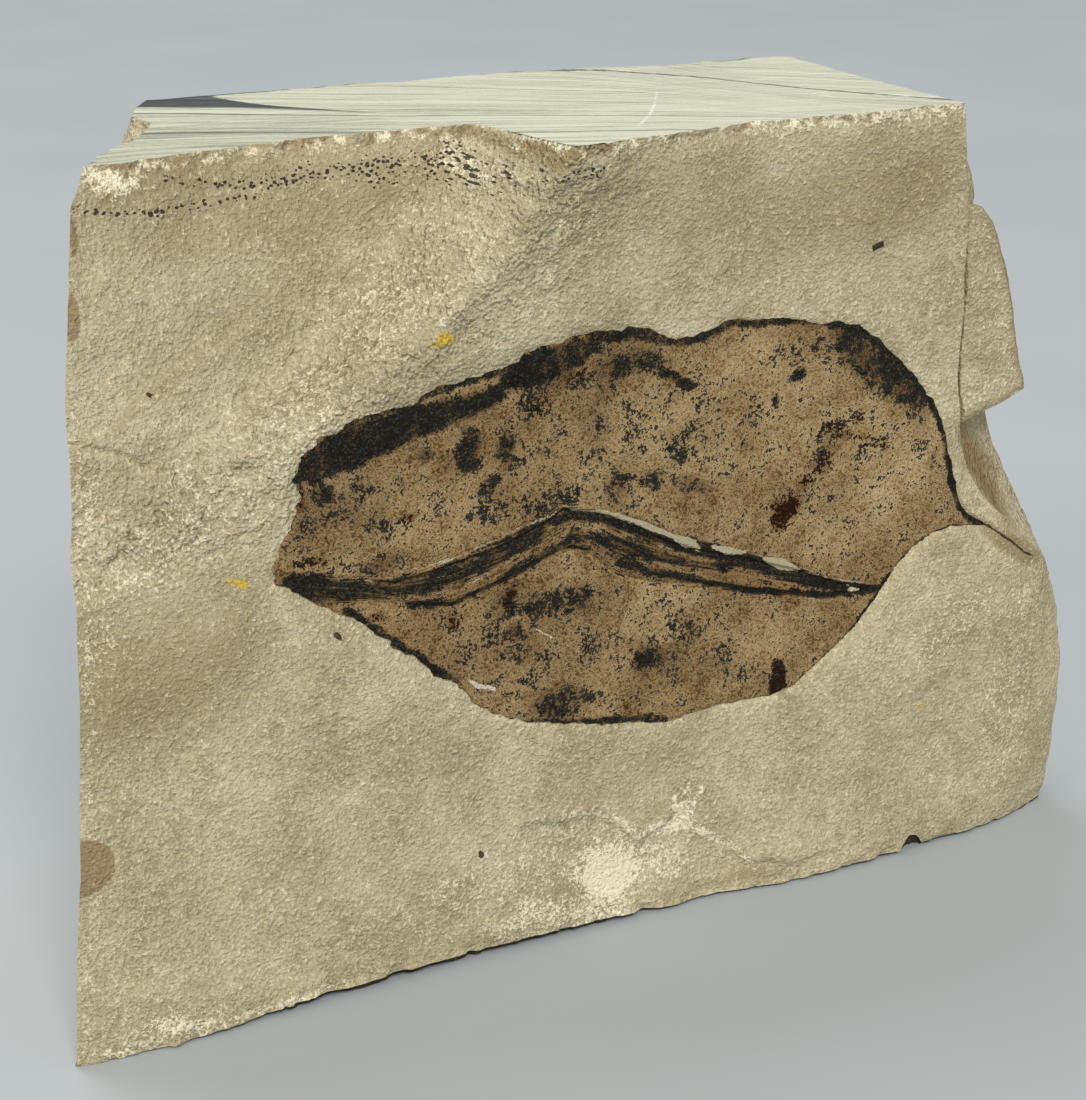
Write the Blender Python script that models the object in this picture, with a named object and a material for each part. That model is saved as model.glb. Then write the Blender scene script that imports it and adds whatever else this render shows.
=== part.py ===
"""Fossil leaf plate: a broken block of bedded mudstone, sawn flat on top, that carries a
carbonised leaf on its front face.

Millimetres are used for every named size and turned into metres when the meshes are made.
The design frame has x to the right along the front, y to the back and z up, and starts at the
block's lower left front corner. The finished part is moved so that its origin is the middle of
the bottom of its bounding box.
"""

import bmesh
import bpy
import numpy as np

MM = 0.001

# Driving dimensions of the block
BLOCK_HEIGHT = 79.0
FULL_DEPTH = 40.0
GRID_ACROSS = 40
GRID_UP = 29
GRID_DEEP = 10
DEPTH_BUNCHING = 1.5

# Height and x of the left front edge
LEFT_EDGE = (
    (0.0, 0.0), (6.7, 0.6), (12.5, 1.1), (18.2, 1.7), (29.5, 2.4), (35.0, 2.7), (45.5, 3.2),
    (50.5, 3.7), (60.7, 4.2), (65.6, 4.8), (72.0, 5.8), (76.2, 6.4), (79.0, 8.2),
)
# Depth behind the front and how far the broken left side has moved right there, at the top
LEFT_SIDE_TOP = (
    (0.0, 0.0), (4.7, 3.0), (8.2, 5.9), (9.1, 7.1), (16.4, 11.9), (21.0, 11.4), (22.8, 12.3),
    (25.7, 13.3), (29.2, 16.1), (34.0, 19.0), (40.0, 23.0),
)
LEFT_SIDE_AT_BASE = 0.8

# Height and x of the right edge of the front face
RIGHT_EDGE = (
    (0.0, 109.0), (10.0, 109.4), (20.0, 109.2), (26.0, 108.4), (30.0, 106.8), (32.7, 103.6),
    (34.7, 102.1), (37.4, 99.3), (40.3, 97.5), (43.5, 96.3), (45.8, 95.7), (51.2, 94.7),
    (59.0, 94.4), (67.3, 93.3), (79.0, 90.9),
)
# Height and x of the outermost corner of the right side
RIGHT_CORNER = (
    (0.0, 111.2), (2.8, 111.7), (12.9, 112.1), (17.4, 112.2), (23.1, 111.4), (26.2, 110.5),
    (29.8, 109.6), (31.9, 109.0), (34.9, 107.9), (37.6, 106.7), (40.4, 105.5), (43.3, 104.5),
    (46.0, 103.4), (52.0, 102.0), (60.0, 99.8), (68.0, 96.8), (71.0, 95.8), (79.0, 91.2),
)
# Height and depth behind the front of that corner
RIGHT_CORNER_DEPTH = (
    (0.0, 0.8), (17.4, 1.0), (26.2, 1.5), (29.8, 3.0), (34.9, 5.2), (46.0, 5.8), (52.0, 6.0),
    (60.0, 5.0), (68.0, 3.4), (79.0, 3.0),
)
# Height and bend of the side up to that corner: above 1 it is hollow, below 1 it is round
RIGHT_BEND = ((0.0, 0.6), (29.0, 0.6), (35.0, 1.7), (60.0, 1.7), (72.0, 0.9), (79.0, 0.9))
# Height and x of the back right corner
RIGHT_BACK = ((0.0, 105.0), (40.0, 100.0), (79.0, 92.8))

# Height, then x of the foot and of the crest of the slanting step on the upper left
STEP_FOOT = (
    (40.0, -14.0), (43.0, -8.0), (45.5, -2.0), (50.0, 6.8), (56.0, 17.0), (60.0, 24.0),
    (66.0, 31.7), (74.0, 39.6), (79.0, 45.2),
)
STEP_CREST = (
    (40.0, -8.0), (43.0, 4.0), (45.5, 17.0), (50.0, 21.7), (56.0, 25.5), (60.0, 32.5),
    (66.0, 40.3), (74.0, 46.3), (79.0, 48.4),
)
# x and depth of the front edge of the sawn top, left of the step and right of it
TROUGH_TOP = ((5.0, 4.6), (8.1, 5.5), (19.0, 8.0), (30.7, 9.5), (41.0, 8.8), (48.0, 8.0))
PLATE_TOP = (
    (-10.0, -5.0), (48.3, -5.4), (51.4, -5.1), (54.9, -4.3), (68.4, -2.7), (80.9, -3.7),
    (110.0, -3.6),
)
TROUGH_FADES_AT = 44.0
TROUGH_LEFT_OVER = 0.25
PLATE_LEAN_FROM = 47.0
PLATE_LEAN_POWER = 1.6
STEP_GROOVE_DEPTH = 0.7
STEP_GROOVE_WIDTH = 3.0

# x and depth of the front edge of the base, and the height over which it fades out
BASE_FRONT = (
    (0.0, -0.4), (9.2, -1.5), (16.0, 0.0), (24.0, 1.2), (44.0, 1.7), (65.0, 0.6),
    (74.0, -1.5), (83.0, -1.4), (97.7, -0.5), (112.0, 0.8),
)
BASE_FRONT_HEIGHT = 16.0

# Rock that still stands a little proud of the leaf, low on the right
PROUD_ROCK = 0.8
PROUD_ROCK_FROM_X = 66.0
PROUD_ROCK_BELOW_Z = 50.0
PROUD_ROCK_BLEND = 14.0
# The front rounds away over this width along its right margin
MARGIN_WIDTH = 9.0
MARGIN_DROP = 1.2

# x and depth of the back edge of the sawn top
BACK_TOP = (
    (20.0, 30.0), (21.5, 31.2), (24.3, 34.7), (28.0, 35.2), (34.5, 34.9), (42.5, 34.0),
    (53.2, 33.7), (63.1, 33.3), (71.2, 31.1), (82.2, 29.5), (90.0, 29.2), (93.0, 28.4),
    (112.0, 26.0),
)
# Bedding ledges on the back: height at the left end, rise to the right end, step and slope width
BACK_LEDGES = ((66.0, -12.0, 1.6, 3.0), (43.0, 9.0, 2.2, 3.5), (20.0, -7.0, 2.6, 4.0))
BACK_LEDGE_SPAN = 110.0

# Loose-edged flake of the front layer right of the hairline crack: x and z of its outline
FLAKE_OUTLINE = (
    (90.0, 67.6), (94.0, 68.7), (95.4, 68.3), (97.1, 66.5), (98.4, 64.1), (99.4, 61.9),
    (100.9, 58.2), (102.3, 53.3), (103.9, 48.3), (100.9, 47.2), (98.5, 46.5), (96.1, 45.7),
    (90.0, 46.6),
)
FLAKE_SINK = 0.25
FLAKE_THICKNESS = 3.2

# Leaf outline, x and z, from the torn left end along the upper edge to the tip and back below
LEAF_OUTLINE = (
    (22.7, 51.5), (23.1, 52.7), (25.0, 54.8), (28.2, 56.1), (31.7, 56.7), (34.3, 57.0),
    (36.4, 58.1), (40.7, 58.6), (44.4, 59.6), (45.0, 60.4), (48.6, 60.7), (52.5, 61.4),
    (55.3, 61.0), (55.9, 61.3), (58.2, 60.8), (60.7, 59.5), (63.1, 59.3), (65.6, 59.8),
    (66.4, 60.4), (68.5, 60.4), (71.4, 59.8), (73.3, 60.0), (77.4, 58.7), (79.3, 58.7),
    (81.8, 58.0), (84.2, 56.4), (86.7, 54.3), (89.7, 51.4), (91.8, 49.0), (93.2, 46.5),
    (94.0, 44.0), (95.0, 40.7), (96.0, 37.3), (97.1, 36.0), (99.4, 34.6), (95.1, 35.1),
    (92.4, 34.7), (90.1, 33.5), (88.3, 31.9), (86.8, 29.9), (83.5, 26.2), (79.2, 23.1),
    (76.0, 21.2), (73.4, 20.8), (66.9, 21.0), (61.1, 20.5), (54.3, 21.8), (46.9, 23.3),
    (41.6, 25.8), (40.0, 26.9), (39.1, 28.7), (35.2, 31.3), (34.8, 32.2), (30.4, 35.7),
    (29.2, 37.1), (24.3, 39.9), (22.1, 41.7), (20.6, 42.3), (20.9, 44.0), (22.5, 46.9),
    (23.7, 49.8), (23.5, 50.7),
)
LEAF_GRID_ACROSS = 24
LEAF_GRID_UP = 13
LEAF_PROUD = 0.15
LEAF_THICKNESS = 0.6
POCKET_GAP = 0.3
POCKET_DEPTH_GAP = 0.4
POCKET_REACH = 4.0
SHARPEST_MITRE = 0.35
CUTTER_MARGIN = 2.0

# Colours are linear
STONE_COLOUR = (0.392, 0.345, 0.242, 1.0)
LEAF_COLOUR = (0.165, 0.098, 0.060, 1.0)
STONE_ROUGHNESS = 0.93
LEAF_ROUGHNESS = 0.72


def reading(pairs, value):
    """Read a list of (position, size) pairs at a value, in straight lines between the pairs."""
    positions, sizes = zip(*pairs)
    return np.interp(value, positions, sizes)


def smooth(value):
    """Ease from 0 to 1 as the value goes from 0 to 1."""
    held = np.clip(value, 0.0, 1.0)
    return held * held * (3.0 - 2.0 * held)


def plate_depth(x, z):
    """Depth of the layer that carries the leaf, which leans forward towards the top."""
    lean = np.clip((z - PLATE_LEAN_FROM) / (BLOCK_HEIGHT - PLATE_LEAN_FROM), 0.0, 1.0)
    base = np.clip(1.0 - z / BASE_FRONT_HEIGHT, 0.0, 1.0)
    return reading(PLATE_TOP, x) * lean**PLATE_LEAN_POWER + reading(BASE_FRONT, x) * base**1.5


def trough_depth(x, z):
    """Depth of the hollow left where the upper left of that layer has split away."""
    climb = np.clip((z - TROUGH_FADES_AT) / (BLOCK_HEIGHT - TROUGH_FADES_AT), 0.0, 1.0)
    return reading(TROUGH_TOP, x) * (TROUGH_LEFT_OVER + (1.0 - TROUGH_LEFT_OVER) * climb**1.2)


def leaf_bed_depth(x, z):
    """Depth of the bedding surface on which the leaf lies."""
    foot = reading(STEP_FOOT, z)
    crest = reading(STEP_CREST, z)
    share = smooth((x - foot) / (crest - foot))
    depth = trough_depth(x, z) * (1.0 - share) + plate_depth(x, z) * share
    groove = np.exp(-(((x - foot) / STEP_GROOVE_WIDTH) ** 2))
    fade = smooth((z - TROUGH_FADES_AT) / 8.0) * smooth((BLOCK_HEIGHT - z) / 12.0)
    return depth + STEP_GROOVE_DEPTH * groove * fade


def front_depth(x, z):
    """Depth of the stone's front face, with its proud rock and its rounded right margin."""
    proud = smooth((x - PROUD_ROCK_FROM_X) / PROUD_ROCK_BLEND)
    proud = proud * smooth((PROUD_ROCK_BELOW_Z - z) / PROUD_ROCK_BLEND)
    margin = np.clip((x - reading(RIGHT_EDGE, z)) / MARGIN_WIDTH + 1.0, 0.0, 1.0)
    low = smooth((48.0 - z) / 6.0)
    return leaf_bed_depth(x, z) - PROUD_ROCK * proud + MARGIN_DROP * low * margin**2


def back_depth(x, z):
    """Depth of the back face, which widens towards the base in bedding ledges."""
    depth = reading(BACK_TOP, x)
    for height, rise, step, width in BACK_LEDGES:
        line = height + rise * x / BACK_LEDGE_SPAN
        depth = depth + step * smooth((line - z) / width + 0.5)
    return depth


def left_side(depth, z):
    """x of the left side at a depth behind the front."""
    share = LEFT_SIDE_AT_BASE + (1.0 - LEFT_SIDE_AT_BASE) * z / BLOCK_HEIGHT
    return reading(LEFT_EDGE, z) + reading(LEFT_SIDE_TOP, depth) * share


def right_side(depth, z, full_depth):
    """x of the right side at a depth behind the front: up to its corner, then to the back."""
    edge = reading(RIGHT_EDGE, z)
    corner = reading(RIGHT_CORNER, z)
    corner_depth = reading(RIGHT_CORNER_DEPTH, z)
    near = np.clip(depth / corner_depth, 0.0, 1.0) ** reading(RIGHT_BEND, z)
    far = np.clip((depth - corner_depth) / (full_depth - corner_depth), 0.0, 1.0)
    return edge + (corner - edge) * near + (reading(RIGHT_BACK, z) - corner) * far**2


def even_front_x(share, z):
    """x at a share of the way along the front's profile, so that steep steps get their points."""
    x = np.linspace(reading(LEFT_EDGE, z), reading(RIGHT_EDGE, z), 400)
    length = np.concatenate(([0.0], np.cumsum(np.hypot(np.diff(x), np.diff(front_depth(x, z))))))
    return np.interp(share * length[-1], length, x)


def block_point(across, deep, up):
    """Design position of a point of the unit cube."""
    z = up * BLOCK_HEIGHT
    front_x = even_front_x(across, z)
    front_y = front_depth(front_x, z)
    back_left = left_side(FULL_DEPTH, z)
    back_x = back_left + (reading(RIGHT_BACK, z) - back_left) * across
    back_y = back_depth(back_x, z)
    along = deep**DEPTH_BUNCHING
    y = front_y + (back_y - front_y) * along
    behind = (back_y - front_y) * along
    inner_x = front_x + (back_x - front_x) * along
    left_line = reading(LEFT_EDGE, z) * (1.0 - along) + back_left * along
    left_shift = left_side(behind, z) - left_line
    right_line = reading(RIGHT_EDGE, z) * (1.0 - along) + reading(RIGHT_BACK, z) * along
    right_shift = right_side(behind, z, back_y - front_y) - right_line
    x = inner_x + left_shift * (1.0 - across) ** 6 + right_shift * across**10
    return np.array((x, y, z))


def new_object(name, bm, collection):
    """Turn a bmesh into an object of a collection."""
    mesh = bpy.data.meshes.new(name)
    bm.to_mesh(mesh)
    bm.free()
    made = bpy.data.objects.new(name, mesh)
    collection.objects.link(made)
    return made


def grid_box(across, deep, up):
    """A unit cube from 0 to 1 with its faces cut into an even grid."""
    bm = bmesh.new()
    bmesh.ops.create_cube(bm, size=1.0)
    bmesh.ops.translate(bm, verts=bm.verts, vec=(0.5, 0.5, 0.5))
    for axis, count in enumerate((across, deep, up)):
        if count < 2:
            continue
        edges = []
        for edge in bm.edges:
            span = edge.verts[1].co - edge.verts[0].co
            if abs(span[axis]) > 0.5:
                edges.append(edge)
        bmesh.ops.subdivide_edges(bm, edges=edges, cuts=count - 1, use_grid_fill=True)
    return bm


def stone_body(collection):
    """The block, from a gridded cube whose points are moved to the block's surface."""
    bm = grid_box(GRID_ACROSS, GRID_DEEP, GRID_UP)
    for vert in bm.verts:
        vert.co = block_point(*vert.co) * MM
    bmesh.ops.recalc_face_normals(bm, faces=bm.faces)
    bmesh.ops.triangulate(bm, faces=bm.faces, quad_method="SHORT_EDGE")
    return new_object("stone", bm, collection)


def outline_prism(name, outline, near, far, collection):
    """A straight prism of an outline in x and z, from the depth near to the depth far."""
    curve = bpy.data.curves.new(name + "_curve", "CURVE")
    curve.dimensions = "2D"
    curve.fill_mode = "BOTH"
    curve.extrude = (far - near) / 2.0 * MM
    spline = curve.splines.new("POLY")
    spline.points.add(len(outline) - 1)
    for point, (x, z) in zip(spline.points, outline):
        point.co = (x * MM, z * MM, 0.0, 1.0)
    spline.use_cyclic_u = True
    drawn = bpy.data.objects.new(name + "_drawn", curve)
    collection.objects.link(drawn)
    drawn.rotation_euler = (np.pi / 2.0, 0.0, 0.0)
    drawn.location = (0.0, (near + far) / 2.0 * MM, 0.0)
    bpy.context.view_layer.update()
    seen = drawn.evaluated_get(bpy.context.evaluated_depsgraph_get())
    mesh = bpy.data.meshes.new_from_object(seen)
    mesh.transform(drawn.matrix_world)
    bpy.data.objects.remove(drawn)
    bm = bmesh.new()
    bm.from_mesh(mesh)
    bmesh.ops.remove_doubles(bm, verts=bm.verts, dist=0.01 * MM)
    bmesh.ops.recalc_face_normals(bm, faces=bm.faces)
    return new_object(name, bm, collection)


def grown_outline(outline, amount):
    """The outline with every side moved outwards by an amount, and its sharp points held back."""
    points = np.array(outline)
    after = np.roll(points, -1, axis=0)
    side = after - points
    area = np.sum(points[:, 0] * after[:, 1] - after[:, 0] * points[:, 1])
    normal = np.column_stack((side[:, 1], -side[:, 0])) * np.sign(area)
    normal = normal / np.linalg.norm(normal, axis=1, keepdims=True)
    middle = normal + np.roll(normal, 1, axis=0)
    middle = middle / np.linalg.norm(middle, axis=1, keepdims=True)
    slant = np.maximum(np.sum(middle * normal, axis=1), SHARPEST_MITRE)
    return [tuple(point) for point in points + middle * (amount / slant)[:, None]]


def apply_boolean(target, tool, operation):
    """Apply an exact Boolean of one object on another."""
    modifier = target.modifiers.new(operation.lower(), "BOOLEAN")
    modifier.operation = operation
    modifier.solver = "EXACT"
    modifier.object = tool
    bpy.context.view_layer.update()
    seen = target.evaluated_get(bpy.context.evaluated_depsgraph_get())
    mesh = bpy.data.meshes.new_from_object(seen)
    target.modifiers.clear()
    target.data = mesh


def draped_slab(name, outline, near, far, depth_of, collection, cutters):
    """A slab of an outline that follows a curved surface, with grid lines to bend along."""
    points = np.array(outline)
    low = np.floor(np.array(LEAF_OUTLINE).min(axis=0)) - CUTTER_MARGIN
    high = np.ceil(np.array(LEAF_OUTLINE).max(axis=0)) + CUTTER_MARGIN
    if points[:, 0].max() > high[0]:
        low = np.floor(points.min(axis=0)) - CUTTER_MARGIN
        high = np.ceil(points.max(axis=0)) + CUTTER_MARGIN
    bm = grid_box(LEAF_GRID_ACROSS, 1, LEAF_GRID_UP)
    for vert in bm.verts:
        x = low[0] + (high[0] - low[0]) * vert.co.x
        z = low[1] + (high[1] - low[1]) * vert.co.z
        y = near + (far - near) * vert.co.y
        vert.co = np.array((x, y, z)) * MM
    bmesh.ops.recalc_face_normals(bm, faces=bm.faces)
    slab = new_object(name, bm, collection)
    prism = outline_prism(name + "_outline", outline, near - 1.0, far + 1.0, cutters)
    apply_boolean(slab, prism, "INTERSECT")
    for vert in slab.data.vertices:
        vert.co.y += float(depth_of(vert.co.x / MM, vert.co.z / MM)) * MM
    return slab


def principled(name, colour, roughness):
    """A plain material with the piece's colour."""
    material = bpy.data.materials.new(name)
    material.use_nodes = True
    shader = material.node_tree.nodes["Principled BSDF"]
    shader.inputs["Base Color"].default_value = colour
    shader.inputs["Roughness"].default_value = roughness
    shader.inputs["Metallic"].default_value = 0.0
    material.diffuse_color = colour
    return material


def hide_cutters(cutters):
    """Keep the cutting bodies out of the model."""
    for cutter in cutters.objects:
        cutter.hide_render = True
        cutter.display_type = "WIRE"


def centre_on_base(pieces):
    """Move every mesh so that the origin is the middle of the bottom of the whole part."""
    corners = np.array([vert.co for piece in pieces for vert in piece.data.vertices])
    low = corners.min(axis=0)
    high = corners.max(axis=0)
    shift = np.array(((low[0] + high[0]) / 2.0, (low[1] + high[1]) / 2.0, low[2]))
    for piece in pieces:
        for vert in piece.data.vertices:
            vert.co = np.array(vert.co) - shift


def main():
    """Build the stone with its flake and leaf pocket, and the leaf."""
    for old in list(bpy.data.objects):
        bpy.data.objects.remove(old)
    part = bpy.data.collections.new("fossil_leaf_plate")
    cutters = bpy.data.collections.new("cutters")
    for collection in (part, cutters):
        bpy.context.scene.collection.children.link(collection)

    stone = stone_body(part)
    flake = draped_slab(
        "flake_body", FLAKE_OUTLINE, FLAKE_SINK, FLAKE_SINK + FLAKE_THICKNESS,
        front_depth, cutters, cutters,
    )
    apply_boolean(stone, flake, "UNION")

    leaf_back = LEAF_THICKNESS - LEAF_PROUD
    pocket = draped_slab(
        "leaf_pocket", grown_outline(LEAF_OUTLINE, POCKET_GAP), -POCKET_REACH,
        leaf_back + POCKET_DEPTH_GAP, leaf_bed_depth, cutters, cutters,
    )
    apply_boolean(stone, pocket, "DIFFERENCE")
    leaf = draped_slab(
        "leaf", LEAF_OUTLINE, -LEAF_PROUD, leaf_back, leaf_bed_depth, part, cutters,
    )

    stone.data.materials.clear()
    stone.data.materials.append(principled("stone", STONE_COLOUR, STONE_ROUGHNESS))
    leaf.data.materials.clear()
    leaf.data.materials.append(principled("leaf", LEAF_COLOUR, LEAF_ROUGHNESS))
    hide_cutters(cutters)
    centre_on_base((stone, leaf))


main()
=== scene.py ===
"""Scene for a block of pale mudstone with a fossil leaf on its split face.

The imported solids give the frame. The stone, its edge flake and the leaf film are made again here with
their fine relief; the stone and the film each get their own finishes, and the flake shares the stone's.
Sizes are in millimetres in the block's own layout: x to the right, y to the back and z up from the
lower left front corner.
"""
import logging
import math
from dataclasses import dataclass, field
from enum import Enum
from typing import Callable, Sequence

import bpy
import numpy as np
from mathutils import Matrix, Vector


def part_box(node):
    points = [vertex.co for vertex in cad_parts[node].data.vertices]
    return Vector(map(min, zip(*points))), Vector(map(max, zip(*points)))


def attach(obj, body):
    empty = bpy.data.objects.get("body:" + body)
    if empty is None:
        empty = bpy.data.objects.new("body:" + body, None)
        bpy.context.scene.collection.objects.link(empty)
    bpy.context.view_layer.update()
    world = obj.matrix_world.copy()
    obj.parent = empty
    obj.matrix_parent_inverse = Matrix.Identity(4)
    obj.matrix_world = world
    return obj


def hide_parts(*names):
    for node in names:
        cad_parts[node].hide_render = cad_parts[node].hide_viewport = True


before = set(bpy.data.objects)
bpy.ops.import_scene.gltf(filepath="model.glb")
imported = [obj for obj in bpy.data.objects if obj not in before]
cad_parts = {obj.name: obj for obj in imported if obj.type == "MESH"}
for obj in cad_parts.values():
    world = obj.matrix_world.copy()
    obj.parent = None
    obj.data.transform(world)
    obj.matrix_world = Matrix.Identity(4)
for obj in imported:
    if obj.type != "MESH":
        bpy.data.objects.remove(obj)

MM = 0.001
LAYOUT_ORIGIN = (56.07222, 18.11647, 0.0)
NEAR_ZERO = 0.0001
BODY = "root"

Table = Sequence[tuple[float, float]]
Line = Sequence[tuple[float, ...]]
Point = tuple[float, float, float]
Colour = tuple[float, float, float, float]

log = logging.getLogger("fossil_leaf_plate")


def reading(pairs: Table, value: np.ndarray) -> np.ndarray:
    """Read a table of (position, size) pairs, with straight lines between them.

    Args:
        pairs: Positions in rising order, each with its size.
        value: Positions to read at.

    Returns:
        The size at each position.
    """
    positions, sizes = zip(*pairs)
    return np.interp(value, positions, sizes)


def smooth(value: np.ndarray) -> np.ndarray:
    """Ease from 0 to 1 as the value goes from 0 to 1."""
    held = np.clip(value, 0.0, 1.0)
    return held * held * (3.0 - 2.0 * held)


def paint(red: float, green: float, blue: float) -> Colour:
    """Turn a colour as seen on a screen (0 to 255) into the shader's light values.

    Args:
        red: Red, from 0 to 255.
        green: Green, from 0 to 255.
        blue: Blue, from 0 to 255.

    Returns:
        Red, green and blue as light, and a last 1.
    """
    parts = [max(0.0, part / 255.0) for part in (red, green, blue)]
    light = [p / 12.92 if p <= 0.04045 else ((p + 0.055) / 1.055) ** 2.4 for p in parts]
    return (light[0], light[1], light[2], 1.0)


def gap_to_line(x: np.ndarray, z: np.ndarray, line: Line) -> np.ndarray:
    """Measure how far each point is from the edge of a line that has a width.

    Args:
        x: First coordinates of the points.
        z: Second coordinates of the points.
        line: Corners as (x, z, half width) or (x, z) for a line with no width.

    Returns:
        The distance to the nearest part of the line less its half width there.
    """
    best = np.full(x.shape, 1e9)
    for start, end in zip(line[:-1], line[1:]):
        dx = end[0] - start[0]
        dz = end[1] - start[1]
        length = max(dx * dx + dz * dz, 1e-12)
        share = np.clip(((x - start[0]) * dx + (z - start[1]) * dz) / length, 0.0, 1.0)
        gap = np.hypot(x - start[0] - share * dx, z - start[1] - share * dz)
        if len(start) > 2:
            gap = gap - (start[2] + (end[2] - start[2]) * share)
        best = np.minimum(best, gap)
    return best


def inside_outline(x: np.ndarray, z: np.ndarray, outline: Line) -> np.ndarray:
    """Tell which points lie inside a closed outline.

    Args:
        x: First coordinates of the points.
        z: Second coordinates of the points.
        outline: Corners of the outline, once round.

    Returns:
        True for each point inside.
    """
    inside = np.zeros(x.shape, dtype=bool)
    corners = list(outline)
    for start, end in zip(corners, corners[1:] + corners[:1]):
        rise = end[1] - start[1]
        if abs(rise) < 1e-9:
            continue
        crosses = (start[1] > z) != (end[1] > z)
        at = start[0] + (z - start[1]) / rise * (end[0] - start[0])
        inside ^= crosses & (x < at)
    return inside


@dataclass(frozen=True)
class Grain:
    """Even random grain in space, the same on every run."""

    seed: int

    def at(self, x: np.ndarray, y: np.ndarray, z: np.ndarray, size: float) -> np.ndarray:
        """Read soft grain.

        Args:
            x: First coordinates.
            y: Second coordinates.
            z: Third coordinates.
            size: Size of one grain, in the unit of the coordinates.

        Returns:
            Values from -1 to 1, mostly near 0.
        """
        places = [np.asarray(c, dtype=float) / size for c in np.broadcast_arrays(x, y, z)]
        cells = [np.floor(c) for c in places]
        shares = [c - cell for c, cell in zip(places, cells)]
        whole = [cell.astype(np.int64) for cell in cells]
        eased = [s * s * s * (s * (6.0 * s - 15.0) + 10.0) for s in shares]
        total = np.zeros(places[0].shape)
        for corner in range(8):
            step = (corner & 1, (corner >> 1) & 1, (corner >> 2) & 1)
            weight = np.ones(places[0].shape)
            for axis in range(3):
                weight = weight * (eased[axis] if step[axis] else 1.0 - eased[axis])
            mixed = self._mix(whole[0] + step[0], whole[1] + step[1], whole[2] + step[2])
            turn = (mixed & 1023) * (2.0 * math.pi / 1024.0)
            lift = ((mixed >> 10) & 1023) / 511.5 - 1.0
            flat = np.sqrt(np.maximum(0.0, 1.0 - lift * lift))
            slope = flat * np.cos(turn) * (shares[0] - step[0])
            slope = slope + flat * np.sin(turn) * (shares[1] - step[1])
            slope = slope + lift * (shares[2] - step[2])
            total += weight * slope
        return np.clip(total * 1.7, -1.0, 1.0)

    def _mix(self, a: np.ndarray, b: np.ndarray, c: np.ndarray) -> np.ndarray:
        """Mix three whole numbers into one random one.

        Args:
            a: First whole numbers.
            b: Second whole numbers.
            c: Third whole numbers.

        Returns:
            Whole numbers of 32 bits.
        """
        mixed = (a * 374761393 + b * 668265263 + c * 1274126177 + self.seed * 974634777)
        mixed = mixed & 0xFFFFFFFF
        mixed = ((mixed ^ (mixed >> 13)) * 1274126177) & 0xFFFFFFFF
        mixed = ((mixed ^ (mixed >> 15)) * 2246822519) & 0xFFFFFFFF
        return mixed ^ (mixed >> 16)

    def layered(self, x: np.ndarray, y: np.ndarray, z: np.ndarray, size: float, layers: int) -> np.ndarray:
        """Add grain of ever smaller size, each half as strong as the last.

        Args:
            x: First coordinates.
            y: Second coordinates.
            z: Third coordinates.
            size: Size of the largest grain.
            layers: Number of sizes.

        Returns:
            The sum, mostly near 0.
        """
        total = np.zeros(np.broadcast(x, y, z).shape)
        strength = 1.0
        for layer in range(layers):
            shift = 17.3 * layer
            total += strength * self.at(x + shift, y - shift, z + 2.0 * shift, size)
            size *= 0.5
            strength *= 0.5
        return total

    def chips(self, x: np.ndarray, y: np.ndarray, z: np.ndarray, size: float) -> np.ndarray:
        """Read a surface broken into small flat chips, each tilted its own way.

        Args:
            x: First coordinates.
            y: Second coordinates.
            z: Third coordinates.
            size: Size of one chip, in the unit of the coordinates.

        Returns:
            Values from about -1.5 to 1.5.
        """
        places = [np.asarray(c, dtype=float) / size for c in np.broadcast_arrays(x, y, z)]
        cells = [np.floor(c).astype(np.int64) for c in places]
        nearest = np.full(places[0].shape, 1e9)
        level = np.zeros(places[0].shape)
        for step in range(27):
            cell = [cells[axis] + (step // 3**axis) % 3 - 1 for axis in range(3)]
            mixed = self._mix(cell[0], cell[1], cell[2])
            other = self._mix(cell[2], cell[0], cell[1] + 71)
            offsets = [
                places[axis] - cell[axis] - ((mixed >> (8 * axis)) & 255) / 255.0 for axis in range(3)
            ]
            gap = offsets[0] ** 2 + offsets[1] ** 2 + offsets[2] ** 2
            value = ((other >> 24) & 255) / 255.0 - 0.5
            for axis in range(3):
                value = value + offsets[axis] * (((other >> (8 * axis)) & 255) / 100.0 - 1.275)
            closer = gap < nearest
            nearest = np.where(closer, gap, nearest)
            level = np.where(closer, value, level)
        return level


ROCK = Grain(11)
CRUMB = Grain(23)
EDGE = Grain(37)
FILM = Grain(51)
MARKS = Grain(67)


@dataclass(frozen=True)
class Patch:
    """A soft oval mark on a face, in millimetres of x and z."""

    x: float
    z: float
    wide: float
    tall: float
    strength: float = 1.0
    turn: float = 0.0

    def on(self, x: np.ndarray, z: np.ndarray) -> np.ndarray:
        """Read how strong the mark is at each point, from 0 to its strength.

        Args:
            x: First coordinates of the points.
            z: Second coordinates of the points.

        Returns:
            The strength at each point.
        """
        angle = math.radians(self.turn)
        dx = x - self.x
        dz = z - self.z
        across = (dx * math.cos(angle) + dz * math.sin(angle)) / self.wide
        up = (dz * math.cos(angle) - dx * math.sin(angle)) / self.tall
        return self.strength * smooth((1.5 - np.hypot(across, up)) / 1.2)


@dataclass(frozen=True)
class Streak:
    """A mark along a line whose corners are (x, z, half width), in millimetres."""

    line: Line
    strength: float = 1.0
    soft: float = 0.3

    def on(self, x: np.ndarray, z: np.ndarray) -> np.ndarray:
        """Read how strong the mark is at each point, from 0 to its strength."""
        return self.strength * smooth(1.0 - gap_to_line(x, z, self.line) / self.soft)


Marks = Sequence[Patch | Streak]


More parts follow.
